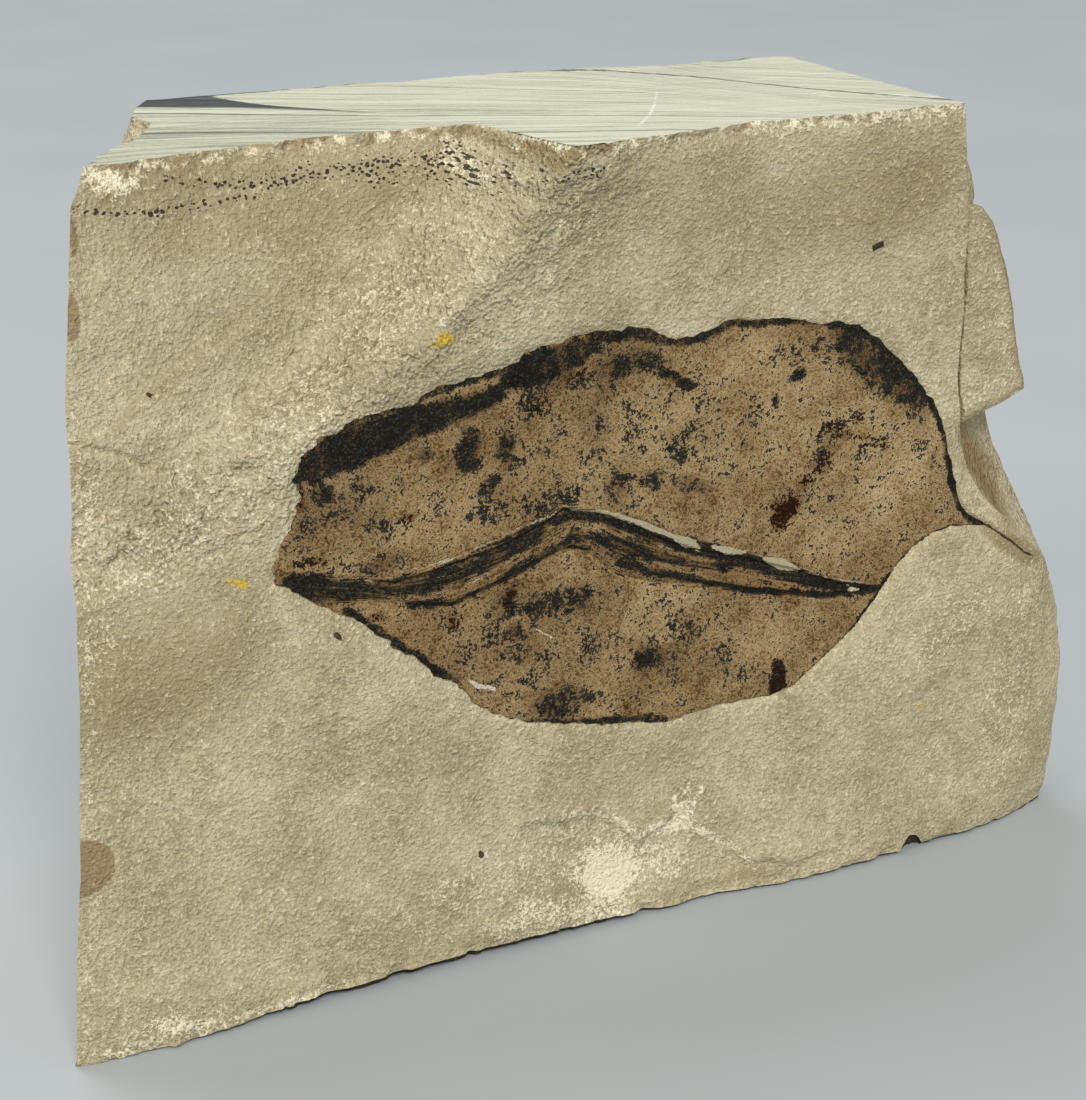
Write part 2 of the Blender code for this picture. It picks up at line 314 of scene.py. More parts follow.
def strongest(marks: Marks, x: np.ndarray, z: np.ndarray, wander: float = 1.0) -> np.ndarray:
    """Lay marks over each other, with wandering edges, and keep the strongest at each point.

    Args:
        marks: The marks.
        x: First coordinates of the points, in millimetres.
        z: Second coordinates of the points, in millimetres.
        wander: How far the edges of patches wander; those of streaks wander a fifth as far.

    Returns:
        The strength of the strongest mark at each point.
    """
    wide_x = 0.9 * MARKS.layered(x, 0.0, z, 3.4, 3) * wander
    wide_z = 0.9 * MARKS.layered(x, 40.0, z, 3.4, 3) * wander
    fine_x = 0.22 * MARKS.layered(x, 80.0, z, 1.5, 3) * wander
    fine_z = 0.22 * MARKS.layered(x, 120.0, z, 1.5, 3) * wander
    best = np.zeros(x.shape)
    for mark in marks:
        if isinstance(mark, Patch):
            size = min(1.0, max(mark.wide, mark.tall) / 1.6)
            best = np.maximum(best, mark.on(x + wide_x * size, z + wide_z * size))
        else:
            best = np.maximum(best, mark.on(x + fine_x, z + fine_z))
    return best


@dataclass(frozen=True)
class LeafShape:
    """The outline of the leaf and the lines of its middle rib."""

    upper: Line = (
        (22.7, 51.5), (23.1, 52.7), (25.0, 54.8), (28.2, 56.1), (31.7, 56.7), (34.3, 57.0), (36.4, 58.1),
        (40.7, 58.6), (44.4, 59.6), (45.0, 60.4), (48.6, 60.7), (52.5, 61.4), (55.3, 61.0), (55.9, 61.3),
        (58.2, 60.8), (60.7, 59.5), (63.1, 59.3), (65.6, 59.8), (66.4, 60.4), (68.5, 60.4), (71.4, 59.8),
        (73.3, 60.0), (77.4, 58.7), (79.3, 58.7), (81.8, 58.0), (84.2, 56.4), (86.7, 54.3), (89.7, 51.4),
        (91.8, 49.0), (93.2, 46.5), (94.0, 44.0), (95.0, 40.7), (96.0, 37.3), (97.1, 36.0), (99.3, 34.8),
    )
    lower: Line = (
        (20.6, 42.3), (22.1, 41.7), (24.3, 39.9), (29.2, 37.1), (30.4, 35.7), (34.8, 32.2), (35.2, 31.3),
        (39.1, 28.7), (40.0, 26.9), (41.6, 25.8), (46.9, 23.3), (54.3, 21.8), (61.1, 20.5), (66.9, 21.0),
        (73.4, 20.8), (76.0, 21.2), (79.2, 23.1), (83.5, 26.2), (86.8, 29.9), (88.3, 31.9), (90.1, 33.5),
        (92.4, 34.7), (95.1, 35.1), (99.3, 34.5),
    )
    left: Line = ((20.6, 42.3), (20.9, 44.0), (22.5, 46.9), (23.7, 49.8), (23.5, 50.7), (22.7, 51.5))
    rib_upper: Line = (
        (23.1, 42.5), (26.2, 41.7), (29.7, 41.2), (32.5, 40.3), (35.4, 40.8), (39.1, 41.4), (43.7, 42.1),
        (47.9, 43.7), (49.4, 44.5), (51.0, 44.3), (52.6, 43.9), (55.0, 42.9), (57.8, 41.4), (61.2, 39.4),
        (64.6, 37.9), (69.3, 36.4), (73.7, 34.7), (76.4, 33.7), (80.1, 32.0), (83.8, 30.6), (86.5, 30.0),
    )
    rib_lower: Line = (
        (23.0, 40.7), (26.1, 39.8), (29.6, 39.2), (33.9, 37.9), (37.9, 37.0), (41.6, 37.9), (45.4, 38.8),
        (47.9, 39.9), (50.5, 40.5), (52.6, 39.7), (55.0, 37.4), (59.2, 35.4), (64.2, 34.3), (68.6, 33.2),
        (73.4, 31.7), (77.9, 30.5), (80.8, 30.3), (86.5, 30.0),
    )

    def outline(self) -> list[tuple[float, float]]:
        """Give the whole outline, once round."""
        return [*self.upper, *reversed(self.lower), *self.left[1:-1]]

    def reach(self, x: np.ndarray, z: np.ndarray) -> np.ndarray:
        """Measure the distance from the outline, below 0 inside the leaf.

        Args:
            x: Places across the block, in millimetres.
            z: Heights, in millimetres.

        Returns:
            The distance of each point, in millimetres.
        """
        outline = self.outline()
        gap = gap_to_line(x, z, outline + outline[:1])
        return np.where(inside_outline(x, z, outline), -gap, gap)


@dataclass(frozen=True)
class SplitFace:
    """The split front of the block: a sloping step between a hollow on the left and the leaf plate."""

    height: float = 79.0
    step_foot: Table = (
        (40.0, -14.0), (43.0, -8.0), (45.5, -2.0), (50.0, 6.8), (56.0, 17.0), (60.0, 24.0), (66.0, 31.7),
        (74.0, 39.6), (79.0, 45.2),
    )
    step_crest: Table = (
        (40.0, -8.0), (43.0, 4.0), (45.5, 17.0), (50.0, 21.7), (56.0, 25.5), (60.0, 32.5), (66.0, 40.3),
        (74.0, 46.3), (79.0, 48.4),
    )
    hollow_top: Table = ((5.0, 4.6), (8.1, 5.5), (19.0, 8.0), (30.7, 9.5), (41.0, 8.8), (48.0, 8.0))
    plate_top: Table = (
        (-10.0, -5.0), (48.3, -5.4), (51.4, -5.1), (54.9, -4.3), (68.4, -2.7), (80.9, -3.7), (110.0, -3.6),
    )
    base_front: Table = (
        (0.0, -0.4), (9.2, -1.7), (16.0, -1.2), (24.0, -0.8), (44.0, -0.4), (58.0, -0.5), (65.0, -0.6),
        (74.0, -1.8), (83.0, -1.4), (97.7, -0.5), (112.0, 0.8),
    )
    right_edge: Table = (
        (0.0, 109.0), (10.0, 109.4), (20.0, 109.2), (26.0, 108.4), (30.0, 106.8), (32.7, 103.6),
        (34.7, 102.1), (37.4, 99.3), (40.3, 97.5), (43.5, 96.3), (45.8, 95.7), (51.2, 94.7), (59.0, 94.4),
        (67.3, 93.3), (79.0, 90.9),
    )
    scar_line: Table = (
        (44.0, 13.4), (50.0, 13.0), (53.6, 12.3), (56.1, 11.0), (58.3, 8.9), (61.4, 9.4), (62.7, 10.5),
        (65.7, 7.4), (68.9, 6.0), (70.7, 3.8), (76.0, 2.6),
    )
    shelf_line: Table = ((4.2, 56.7), (7.7, 56.7), (11.8, 59.8), (16.7, 62.0), (21.7, 63.4), (25.0, 64.0))
    crack: Line = ((4.0, 56.9, 0.05), (6.8, 56.0, 0.15), (8.9, 55.0, 0.12), (11.5, 53.2, 0.02))
    right_fold: Line = ((90.0, 20.0, 0.2), (97.0, 27.0, 0.6), (103.0, 31.5, 0.9))
    low_fold: Line = ((1.0, 33.0, 0.5), (12.0, 37.5, 1.0), (24.0, 37.0, 0.8), (32.0, 31.0, 0.3))
    hollow_fades_at: float = 44.0
    plate_leans_from: float = 47.0
    base_height: float = 16.0
    groove_depth: float = 0.35
    groove_width: float = 5.0
    proud_rock: float = 0.8
    margin_width: float = 9.0
    margin_drop: float = 1.2
    leaf: LeafShape = field(default_factory=LeafShape)
    leaf_seat: float = 0.14

    def plate(self, x: np.ndarray, z: np.ndarray) -> np.ndarray:
        """Read the depth of the plate that carries the leaf.

        Args:
            x: Places across the block, in millimetres.
            z: Heights, in millimetres.

        Returns:
            The depth at each point, in millimetres.
        """
        lean = np.clip((z - self.plate_leans_from) / (self.height - self.plate_leans_from), 0.0, 1.0)
        base = np.clip(1.0 - z / self.base_height, 0.0, 1.0)
        return reading(self.plate_top, x) * lean**1.6 + reading(self.base_front, x) * base**1.5

    def hollow(self, x: np.ndarray, z: np.ndarray) -> np.ndarray:
        """Read the depth of the hollow left of the step."""
        climb = np.clip((z - self.hollow_fades_at) / (self.height - self.hollow_fades_at), 0.0, 1.0)
        return reading(self.hollow_top, x) * (0.25 + 0.75 * climb**1.2)

    def step_share(self, x: np.ndarray, z: np.ndarray) -> np.ndarray:
        """Read how far up the step a point is: 0 at its foot and 1 at its crest, unheld.

        Args:
            x: Places across the block, in millimetres.
            z: Heights, in millimetres.

        Returns:
            The share at each point.
        """
        foot = reading(self.step_foot, z)
        crest = reading(self.step_crest, z)
        return (x - foot) / (crest - foot)

    def leaf_bed(self, x: np.ndarray, z: np.ndarray) -> np.ndarray:
        """Read the depth of the surface that the leaf was laid on.

        Args:
            x: Places across the block, in millimetres.
            z: Heights, in millimetres.

        Returns:
            The depth at each point, in millimetres.
        """
        share = smooth(self.step_share(x, z))
        depth = self.hollow(x, z) * (1.0 - share) + self.plate(x, z) * share
        groove = self.groove_depth * np.exp(-(((x - reading(self.step_foot, z)) / self.groove_width) ** 2))
        return depth + groove * smooth((z - 44.0) / 8.0) * smooth((self.height - z) / 12.0)

    def plain(self, x: np.ndarray, z: np.ndarray) -> np.ndarray:
        """Read the depth of the face with its large forms alone.

        Args:
            x: Places across the block, in millimetres.
            z: Heights, in millimetres.

        Returns:
            The depth at each point, in millimetres.
        """
        proud = self.proud_rock * smooth((x - 66.0) / 14.0) * smooth((50.0 - z) / 14.0)
        margin = np.clip((x - reading(self.right_edge, z)) / self.margin_width + 1.0, 0.0, 1.0) ** 2
        return self.leaf_bed(x, z) - proud + self.margin_drop * smooth((48.0 - z) / 6.0) * margin

    def roughness(self, x: np.ndarray, z: np.ndarray) -> np.ndarray:
        """Read how crumbly the face is: 1 on the step, less in the hollow and least on the plate.

        Args:
            x: Places across the block, in millimetres.
            z: Heights, in millimetres.

        Returns:
            A value from 0 to 1 for each point.
        """
        foot = reading(self.step_foot, z)
        crest = reading(self.step_crest, z)
        band = smooth((x - foot + 4.0) / 9.0) * smooth((crest + 14.0 - x) / 17.0) * smooth((z - 43.0) / 7.0)
        wander = 0.25 * ROCK.at(x, 0.0, z, 9.0)
        return np.clip(band * (0.85 + wander) + 0.18 * smooth((crest - x) / 12.0), 0.0, 1.0)

    def ledges(self, x: np.ndarray, z: np.ndarray) -> np.ndarray:
        """Read the low steps and scars where thin layers have come off.

        Args:
            x: Places across the block, in millimetres.
            z: Heights, in millimetres.

        Returns:
            What they add to the depth, in millimetres.
        """
        wander = 0.8 * ROCK.at(x, 5.0, z, 4.0)
        below = reading(self.scar_line, x) - z + wander
        span = smooth((x - 40.0) / 12.0) * smooth((84.0 - x) / 8.0)
        scar = 0.5 * smooth(below / 0.6) * smooth((12.0 - below) / 9.0) * span
        over = z - reading(self.shelf_line, x) + 0.7 * wander
        shelf = 0.35 * smooth(over / 0.9) * smooth((9.0 - over) / 8.0) * smooth((27.0 - x) / 6.0)
        cut = 0.4 * smooth(1.0 - gap_to_line(x, z, self.crack) / 0.35)
        right_fold = -0.3 * smooth(1.0 - gap_to_line(x, z, self.right_fold) / 5.0)
        low_fold = 0.35 * smooth(1.0 - gap_to_line(x, z, self.low_fold) / 5.5)
        return scar + shelf + cut + right_fold - low_fold

    def crust(self, x: np.ndarray, z: np.ndarray) -> np.ndarray:
        """Read how far the face is broken back just under the sawn top and above the base.

        Args:
            x: Places across the block, in millimetres.
            z: Heights, in millimetres.

        Returns:
            What it adds to the depth, in millimetres.
        """
        near_top = smooth((z - 76.6) / 2.4)
        bites = 0.3 + 0.4 * EDGE.layered(x, 3.0, z, 2.2, 3) + 0.35 * EDGE.chips(x, 3.0, z, 1.1)
        bites = np.clip(bites, 0.0, 1.0)
        corner = 0.9 * smooth(1.0 - np.hypot((x - 9.2) / 2.8, (z - self.height) / 2.0))
        near_base = smooth(1.0 - z / 2.2)
        base_bites = 0.15 + 0.6 * EDGE.layered(x, 9.0, z, 4.3, 3) + 0.3 * EDGE.chips(x, 9.0, z, 1.8)
        base_bites = np.clip(base_bites, 0.0, 1.1)
        return near_top * bites * 0.8 + corner + near_base**1.3 * base_bites * 0.8

    def relief(self, x: np.ndarray, z: np.ndarray) -> np.ndarray:
        """Read the fine relief of the face, above 0 where it is deeper.

        Args:
            x: Places across the block, in millimetres.
            z: Heights, in millimetres.

        Returns:
            What it adds to the depth, in millimetres.
        """
        rough = self.roughness(x, z)
        away = smooth((self.leaf.reach(x, z) + 0.2) / 2.5)
        along = (x * 0.76 + z * 0.65) * 0.5
        cross = z * 0.76 - x * 0.65
        rolling = 0.36 * ROCK.layered(x, 0.0, z, 13.0, 2)
        sandy = 0.06 * ROCK.at(x, 1.0, z, 2.6) + 0.05 * ROCK.at(x, 2.0, z, 1.3)
        sandy = sandy + 0.035 * ROCK.at(x, 3.0, z, 0.8)
        bent = 0.5 * CRUMB.at(x, 6.0, z, 2.4)
        broken = 0.34 * CRUMB.chips(along + bent, 0.0, cross, 2.9)
        broken = broken + 0.3 * CRUMB.chips(along, 4.0, cross + bent, 1.3)
        broken = broken + 0.25 * CRUMB.layered(along, 2.0, cross, 4.5, 2) + 0.07 * CRUMB.at(x, 9.0, z, 0.75)
        even = rolling * away + sandy * (0.6 + 0.4 * away)
        return even + rough * broken * away + self.ledges(x, z) * away

    def depth(self, x: np.ndarray, z: np.ndarray) -> np.ndarray:
        """Read the finished depth of the front, with the seat of the leaf let in.

        Args:
            x: Places across the block, in millimetres.
            z: Heights, in millimetres.

        Returns:
            The depth at each point, in millimetres.
        """
        reach = self.leaf.reach(x, z)
        stone = self.plain(x, z) + self.relief(x, z) + self.crust(x, z)
        seat = self.leaf_bed(x, z) + self.leaf_seat
        share = smooth((reach + 0.05) / 0.38)
        return seat * (1.0 - share) + stone * share


@dataclass(frozen=True)
class BlockForm:
    """The whole block round its split face, from the same tables as the solids."""

    face: SplitFace = field(default_factory=SplitFace)
    height: float = 79.0
    full_depth: float = 40.0
    left_edge: Table = (
        (0.0, 0.0), (6.7, 0.6), (12.5, 1.1), (18.2, 1.7), (29.5, 2.4), (35.0, 2.7), (45.5, 3.2), (50.5, 3.7),
        (60.7, 4.2), (65.6, 4.8), (72.0, 5.8), (76.2, 6.4), (79.0, 8.2),
    )
    left_side_top: Table = (
        (0.0, 0.0), (4.7, 3.0), (8.2, 5.9), (9.1, 7.1), (16.4, 11.9), (21.0, 11.4), (22.8, 12.3),
        (25.7, 13.3), (29.2, 16.1), (34.0, 19.0), (40.0, 23.0),
    )
    right_corner: Table = (
        (0.0, 111.2), (2.8, 111.7), (12.9, 112.1), (17.4, 112.2), (23.1, 111.4), (26.2, 110.5),
        (29.8, 109.6), (31.9, 109.0), (34.9, 107.9), (37.6, 106.7), (40.4, 105.5), (43.3, 104.5),
        (46.0, 103.4), (52.0, 102.0), (60.0, 99.8), (68.0, 96.8), (71.0, 95.8), (79.0, 91.2),
    )
    right_corner_depth: Table = (
        (0.0, 0.8), (17.4, 1.0), (26.2, 1.5), (29.8, 3.0), (34.9, 5.2), (46.0, 5.8), (52.0, 6.0),
        (60.0, 5.0), (68.0, 3.4), (79.0, 3.0),
    )
    right_bend: Table = ((0.0, 0.6), (29.0, 0.6), (35.0, 1.7), (60.0, 1.7), (72.0, 0.9), (79.0, 0.9))
    right_back: Table = ((0.0, 105.0), (40.0, 100.0), (79.0, 92.8))
    back_top: Table = (
        (20.0, 30.0), (21.5, 31.2), (24.3, 34.7), (28.0, 35.2), (34.5, 34.9), (42.5, 34.0), (53.2, 33.7),
        (63.1, 33.3), (71.2, 31.1), (82.2, 29.5), (90.0, 29.2), (93.0, 28.4), (112.0, 26.0),
    )
    back_ledges: Sequence[tuple[float, float, float, float]] = (
        (66.0, -12.0, 1.6, 3.0), (43.0, 9.0, 2.2, 3.5), (20.0, -7.0, 2.6, 4.0),
    )

    def back(self, x: np.ndarray, z: np.ndarray) -> np.ndarray:
        """Read the depth of the back with its ledges.

        Args:
            x: Places across the block, in millimetres.
            z: Heights, in millimetres.

        Returns:
            The depth at each point, in millimetres.
        """
        depth = reading(self.back_top, x)
        for height, rise, step, width in self.back_ledges:
            depth = depth + step * smooth((height + rise * x / 110.0 - z) / width + 0.5)
        return depth

    def left(self, depth: np.ndarray, z: np.ndarray) -> np.ndarray:
        """Read where the left side is at a depth and height."""
        lean = 0.8 + 0.2 * z / self.height
        return reading(self.left_edge, z) + reading(self.left_side_top, depth) * lean

    def right(self, depth: np.ndarray, z: np.ndarray, full: np.ndarray) -> np.ndarray:
        """Read where the right side is at a depth and height.

        Args:
            depth: Depths behind the front, in millimetres.
            z: Heights, in millimetres.
            full: Depths of the back behind the front.

        Returns:
            The place across at each point.
        """
        edge = reading(self.face.right_edge, z)
        corner = reading(self.right_corner, z)
        corner_depth = reading(self.right_corner_depth, z)
        near = np.clip(depth / corner_depth, 0.0, 1.0) ** reading(self.right_bend, z)
        far = np.clip((depth - corner_depth) / (full - corner_depth), 0.0, 1.0)
        return edge + (corner - edge) * near + (reading(self.right_back, z) - corner) * far**2

    def front_x(self, share: np.ndarray, z: np.ndarray) -> np.ndarray:
        """Space points evenly along the front at each height.

        Args:
            share: Shares of the way from left to right.
            z: Heights, in millimetres.

        Returns:
            The place across of each point, in millimetres.
        """
        x = np.empty_like(share)
        rows, order = np.unique(np.round(z, 4), return_inverse=True)
        for index, row in enumerate(rows):
            chosen = order == index
            start = float(reading(self.left_edge, row))
            end = float(reading(self.face.right_edge, row))
            samples = np.linspace(start, end, 300)
            depth = self.face.plain(samples, np.full(samples.shape, row))
            run = np.concatenate(([0.0], np.cumsum(np.hypot(np.diff(samples), np.diff(depth)))))
            x[chosen] = np.interp(share[chosen] * run[-1], run, samples)
        return x

    def place(self, across: np.ndarray, deep: np.ndarray, up: np.ndarray) -> np.ndarray:
        """Place points of a plain unit cube on the block.

        Args:
            across: Share of the way from left to right.
            deep: Share of the way from front to back.
            up: Share of the way from base to top.

        Returns:
            One row of x, y and z in millimetres for each point.
        """
        z = up * self.height
        front_x = self.front_x(across, z)
        front_y = self.face.depth(front_x, z)
        back_left = self.left(np.full(z.shape, self.full_depth), z)
        back_x = back_left + (reading(self.right_back, z) - back_left) * across
        back_y = self.back(back_x, z)
        along = deep**1.5
        behind = (back_y - front_y) * along
        x = front_x + (back_x - front_x) * along
        left_shift = self.left(behind, z) - (reading(self.left_edge, z) * (1.0 - along) + back_left * along)
        right_line = reading(self.face.right_edge, z) * (1.0 - along) + reading(self.right_back, z) * along
        right_shift = self.right(behind, z, back_y - front_y) - right_line
        x = x + left_shift * (1.0 - across) ** 6 + right_shift * across**10
        return np.column_stack((x, front_y + behind, z))


class Cut(Enum):
    """What a cut divides."""

    EDGES = "EDGE"
    FACES = "FACE"


class Bench:
    """Mesh work that every piece shares."""

    @staticmethod
    def clear_choice() -> None:
        """Deselect every object."""
        if bpy.context.object is not None and bpy.context.object.mode != "OBJECT":
            bpy.ops.object.mode_set(mode="OBJECT")
        bpy.ops.object.select_all(action="DESELECT")

    @staticmethod
    def corners(piece: bpy.types.Object) -> np.ndarray:
        """Read a mesh's points, one row each.

        Args:
            piece: The piece.

        Returns:
            Its points.
        """
        flat = np.empty(len(piece.data.vertices) * 3)
        piece.data.vertices.foreach_get("co", flat)
        return flat.reshape(-1, 3)

    @staticmethod
    def set_corners(piece: bpy.types.Object, corners: np.ndarray) -> None:
        """Write a mesh's points, one row each."""
        piece.data.vertices.foreach_set("co", corners.ravel())
        piece.data.update()

    @staticmethod
    def centres(piece: bpy.types.Object) -> np.ndarray:
        """Read the centres of a mesh's faces, one row each.

        Args:
            piece: The piece.

        Returns:
            The centres.
        """
        flat = np.empty(len(piece.data.polygons) * 3)
        piece.data.polygons.foreach_get("center", flat)
        return flat.reshape(-1, 3)

    @staticmethod
    def runs_along(piece: bpy.types.Object, axis: int) -> np.ndarray:
        """Tell which edges of a gridded block run along an axis: 0, 1 or 2 for x, y or z.

        Args:
            piece: The gridded block.
            axis: The axis.

        Returns:
            True for each edge that does.
        """
        ends = np.empty(len(piece.data.edges) * 2, dtype=np.int64)
        piece.data.edges.foreach_get("vertices", ends)
        places = Bench.corners(piece)[ends.reshape(-1, 2)]
        return np.argmax(np.abs(places[:, 1] - places[:, 0]), axis=1) == axis

    @staticmethod
    def cut(piece: bpy.types.Object, kind: Cut, wanted: Callable[[], np.ndarray], parts: int) -> None:
        """Cut some edges or faces of a gridded block into equal parts.

        Args:
            piece: The gridded block.
            kind: Whether edges or faces are cut.
            wanted: Tells which of them to cut.
            parts: Number of parts along each edge.
        """
        bpy.ops.object.mode_set(mode="EDIT")
        bpy.ops.mesh.select_mode(type=kind.value)
        bpy.ops.mesh.select_all(action="DESELECT")
        bpy.ops.object.mode_set(mode="OBJECT")
        items = piece.data.edges if kind is Cut.EDGES else piece.data.polygons
        items.foreach_set("select", wanted())
        bpy.ops.object.mode_set(mode="EDIT")
        bpy.ops.mesh.subdivide(number_cuts=parts - 1)
        bpy.ops.object.mode_set(mode="OBJECT")

    @staticmethod
    def refine(piece: bpy.types.Object, wanted: Callable[[np.ndarray], np.ndarray], parts: int) -> None:
        """Cut the faces whose centres are wanted into smaller ones."""
        Bench.cut(piece, Cut.FACES, lambda: wanted(Bench.centres(piece)), parts)

    @staticmethod
    def gridded_block(name: str, parts: tuple[int, int, int]) -> bpy.types.Object:
        """Add a cube from 0 to 1 and cut it into a grid.

        Args:
            name: Name of the piece.
            parts: Number of parts along x, y and z.

        Returns:
            The gridded cube, with its place in its mesh.
        """
        Bench.clear_choice()
        bpy.ops.mesh.primitive_cube_add(size=1.0, location=(0.5, 0.5, 0.5))
        piece = bpy.context.object
        piece.name = name
        piece.data.name = name
        bpy.ops.object.transform_apply(location=True, rotation=True, scale=True)
        for axis, count in enumerate(parts):
            if count > 1:
                Bench.cut(piece, Cut.EDGES, lambda: Bench.runs_along(piece, axis), count)
        return piece

    @staticmethod
    def mark(piece: bpy.types.Object, **marks: np.ndarray) -> None:
        """Store numbers for each point of a mesh under their names, for its finish to read.

        Args:
            piece: The piece.
            marks: One number for each point, under each name.
        """
        for name, values in marks.items():
            layer = piece.data.attributes.new(name, "FLOAT", "POINT")
            layer.data.foreach_set("value", values.astype(np.float32))

    @staticmethod
    def to_frame(layout: np.ndarray) -> np.ndarray:
        """Turn the layout's millimetres into metres in the shared frame."""
        return (layout - np.array(LAYOUT_ORIGIN)) * MM

    @staticmethod
    def dress(piece: bpy.types.Object, angle: float, *materials: bpy.types.Material) -> None:
        """Give a piece its materials and shade it smooth.

        Args:
            piece: The piece.
            angle: Creases over this angle in degrees are kept sharp.
            materials: Its materials, in order.
        """
        piece.data.materials.clear()
        for material in materials:
            piece.data.materials.append(material)
        Bench.clear_choice()
        piece.select_set(True)
        bpy.context.view_layer.objects.active = piece
        bpy.ops.object.shade_smooth_by_angle(angle=math.radians(angle))


@dataclass
class Finish:
    """A material laid out with nodes, on the piece's own coordinates."""

    name: str

    def __post_init__(self) -> None:
        """Start an empty node layout."""
        self.material = bpy.data.materials.new(self.name)
        self.material.use_nodes = True
        self.tree = self.material.node_tree
        self.tree.nodes.clear()
        self.place = self._node("TexCoord").outputs["Object"]

    def _node(self, kind: str, inputs: dict | None = None, **settings: object) -> bpy.types.Node:
        """Add a node.

        Args:
            kind: Type of the node, without the first part that all of them share.
            inputs: A link, number or colour for each socket, by its name or place.
            settings: Its other settings.

        Returns:
            The new node.
        """
        node = self.tree.nodes.new("ShaderNode" + kind)
        for setting, value in settings.items():
            setattr(node, setting, value)
        for socket, value in (inputs or {}).items():
            if isinstance(value, bpy.types.NodeSocket):
                self.tree.links.new(value, node.inputs[socket])
            else:
                node.inputs[socket].default_value = value
        return node

    def mark(self, name: str) -> bpy.types.NodeSocket:
        """Read a number stored on the piece's points."""
        return self._node("Attribute", attribute_name=name).outputs["Fac"]

    def grain(
        self, size: float, detail: float = 2.0, rough: float = 0.5, stretch: Point = (1.0, 1.0, 1.0),
        turn: Point = (0.0, 0.0, 0.0), swirl: float = 0.0,
    ) -> bpy.types.NodeSocket:
        """Add soft random grain.

        Args:
            size: Size of one grain in millimetres.
            detail: Number of finer layers.
            rough: Strength of the finer layers.
            stretch: How many times longer the grain is along each axis.
            turn: Turn of the pattern about each axis, in degrees.
            swirl: How much the grain is bent.

        Returns:
            A value from 0 to 1.
        """
        turned = self._node("Mapping", {"Vector": self.place, "Rotation": [math.radians(t) for t in turn]})
        per_metre = [1.0 / (size * MM) / longer for longer in stretch]
        scaled = self._node("VectorMath", {0: turned.outputs["Vector"], 1: per_metre}, operation="MULTIPLY")
        noise = {"Scale": 1.0, "Detail": detail, "Roughness": rough, "Distortion": swirl}
        return self._node("TexNoise", {"Vector": scaled.outputs["Vector"], **noise}).outputs["Fac"]

    def crisp(self, value: object, spread: float = 0.19) -> bpy.types.NodeSocket:
        """Stretch soft grain until it reaches from 0 to 1."""
        return self.between(value, 0.5 - spread, 0.5 + spread)

    def crisp_grain(self, size: float, detail: float, rough: float, **shape: object) -> bpy.types.NodeSocket:
        """Add grain that reaches from 0 to 1, described as for grain."""
        return self.crisp(self.grain(size, detail, rough, **shape))

    def cells(self, size: float) -> bpy.types.NodeSocket:
        """Add rounded cells of a size in millimetres, and read the distance to their middles."""
        cells = {"Vector": self.place, "Randomness": 1.0, "Scale": 1.0 / (size * MM)}
        return self._node("TexVoronoi", cells).outputs["Distance"]

    def beds(self, across: bpy.types.NodeSocket, count: float, along: float) -> bpy.types.NodeSocket:
        """Add thin, crisp layers that follow the beds of the stone.

        Args:
            across: Place across the beds.
            count: Number of layers for each unit across.
            along: Changes for each millimetre along the beds.

        Returns:
            A value from 0 to 1.
        """
        parts = self._node("SeparateXYZ", {"Vector": self.place})
        run = self.product(parts.outputs["X"], along / MM)
        flat = self._node("CombineXYZ", {"X": run, "Y": self.product(across, count)})
        noise = {"Vector": flat.outputs["Vector"], "Scale": 1.0, "Detail": 2.0}
        return self.crisp(self._node("TexNoise", noise).outputs["Fac"])

    def dashes(self, wide: float, tall: float, turn: float) -> bpy.types.NodeSocket:
        """Scatter short dashes over the front.

        Args:
            wide: Spacing along the dashes in millimetres.
            tall: Spacing across them in millimetres.
            turn: Slant of the dashes in degrees.

        Returns:
            The distance to the nearest dash, in spacings.
        """
        parts = self._node("SeparateXYZ", {"Vector": self.place})
        flat = self._node("CombineXYZ", {"X": parts.outputs["X"], "Y": parts.outputs["Z"]})
        turned = self._node("Mapping", {
            "Vector": flat.outputs["Vector"], "Rotation": (0.0, 0.0, math.radians(-turn)),
            "Scale": (1.0 / (wide * MM), 1.0 / (tall * MM), 1.0),
        })
        cells = {"Vector": turned.outputs["Vector"], "Scale": 1.0}
        return self._node("TexVoronoi", cells, voronoi_dimensions="2D").outputs["Distance"]

    def chip(
        self, x: float, z: float, half_wide: float, half_tall: float, turn: float
    ) -> bpy.types.NodeSocket:
        """Draw one small four-sided mark on the front.

        Args:
            x: Place of its middle in the layout's millimetres.
            z: Height of its middle.
            half_wide: Half its length in millimetres.
            half_tall: Half its height in millimetres.
            turn: Slant in degrees.

        Returns:
            1 on the mark and 0 beside it.
        """
        own = self._node("Mapping", {
            "Vector": self.place, "Location": ((x - LAYOUT_ORIGIN[0]) * MM, 0.0, z * MM),
            "Rotation": (0.0, -math.radians(turn), 0.0), "Scale": (MM, MM, MM),
        }, vector_type="TEXTURE")
        parts = self._node("SeparateXYZ", {"Vector": own.outputs["Vector"]})
        wide = self.thin_line(parts.outputs["X"], half_wide, 0.08)
        tall = self.thin_line(parts.outputs["Z"], half_tall, 0.08)
        front = self.between(self.sum((parts.outputs["Y"], -1.0)), 0.0, 2.0)
        return self.product(self.product(wide, tall), front)

    def sum(self, *terms: tuple[object, float]) -> bpy.types.NodeSocket:
        """Add values, each times its weight.

        Args:
            terms: Values or links, each with its weight.

        Returns:
            The sum.
        """
        total: object = 0.0
        for value, weight in terms:
            node = self._node("Math", {0: value, 1: weight, 2: total}, operation="MULTIPLY_ADD")
            total = node.outputs["Value"]
        return total

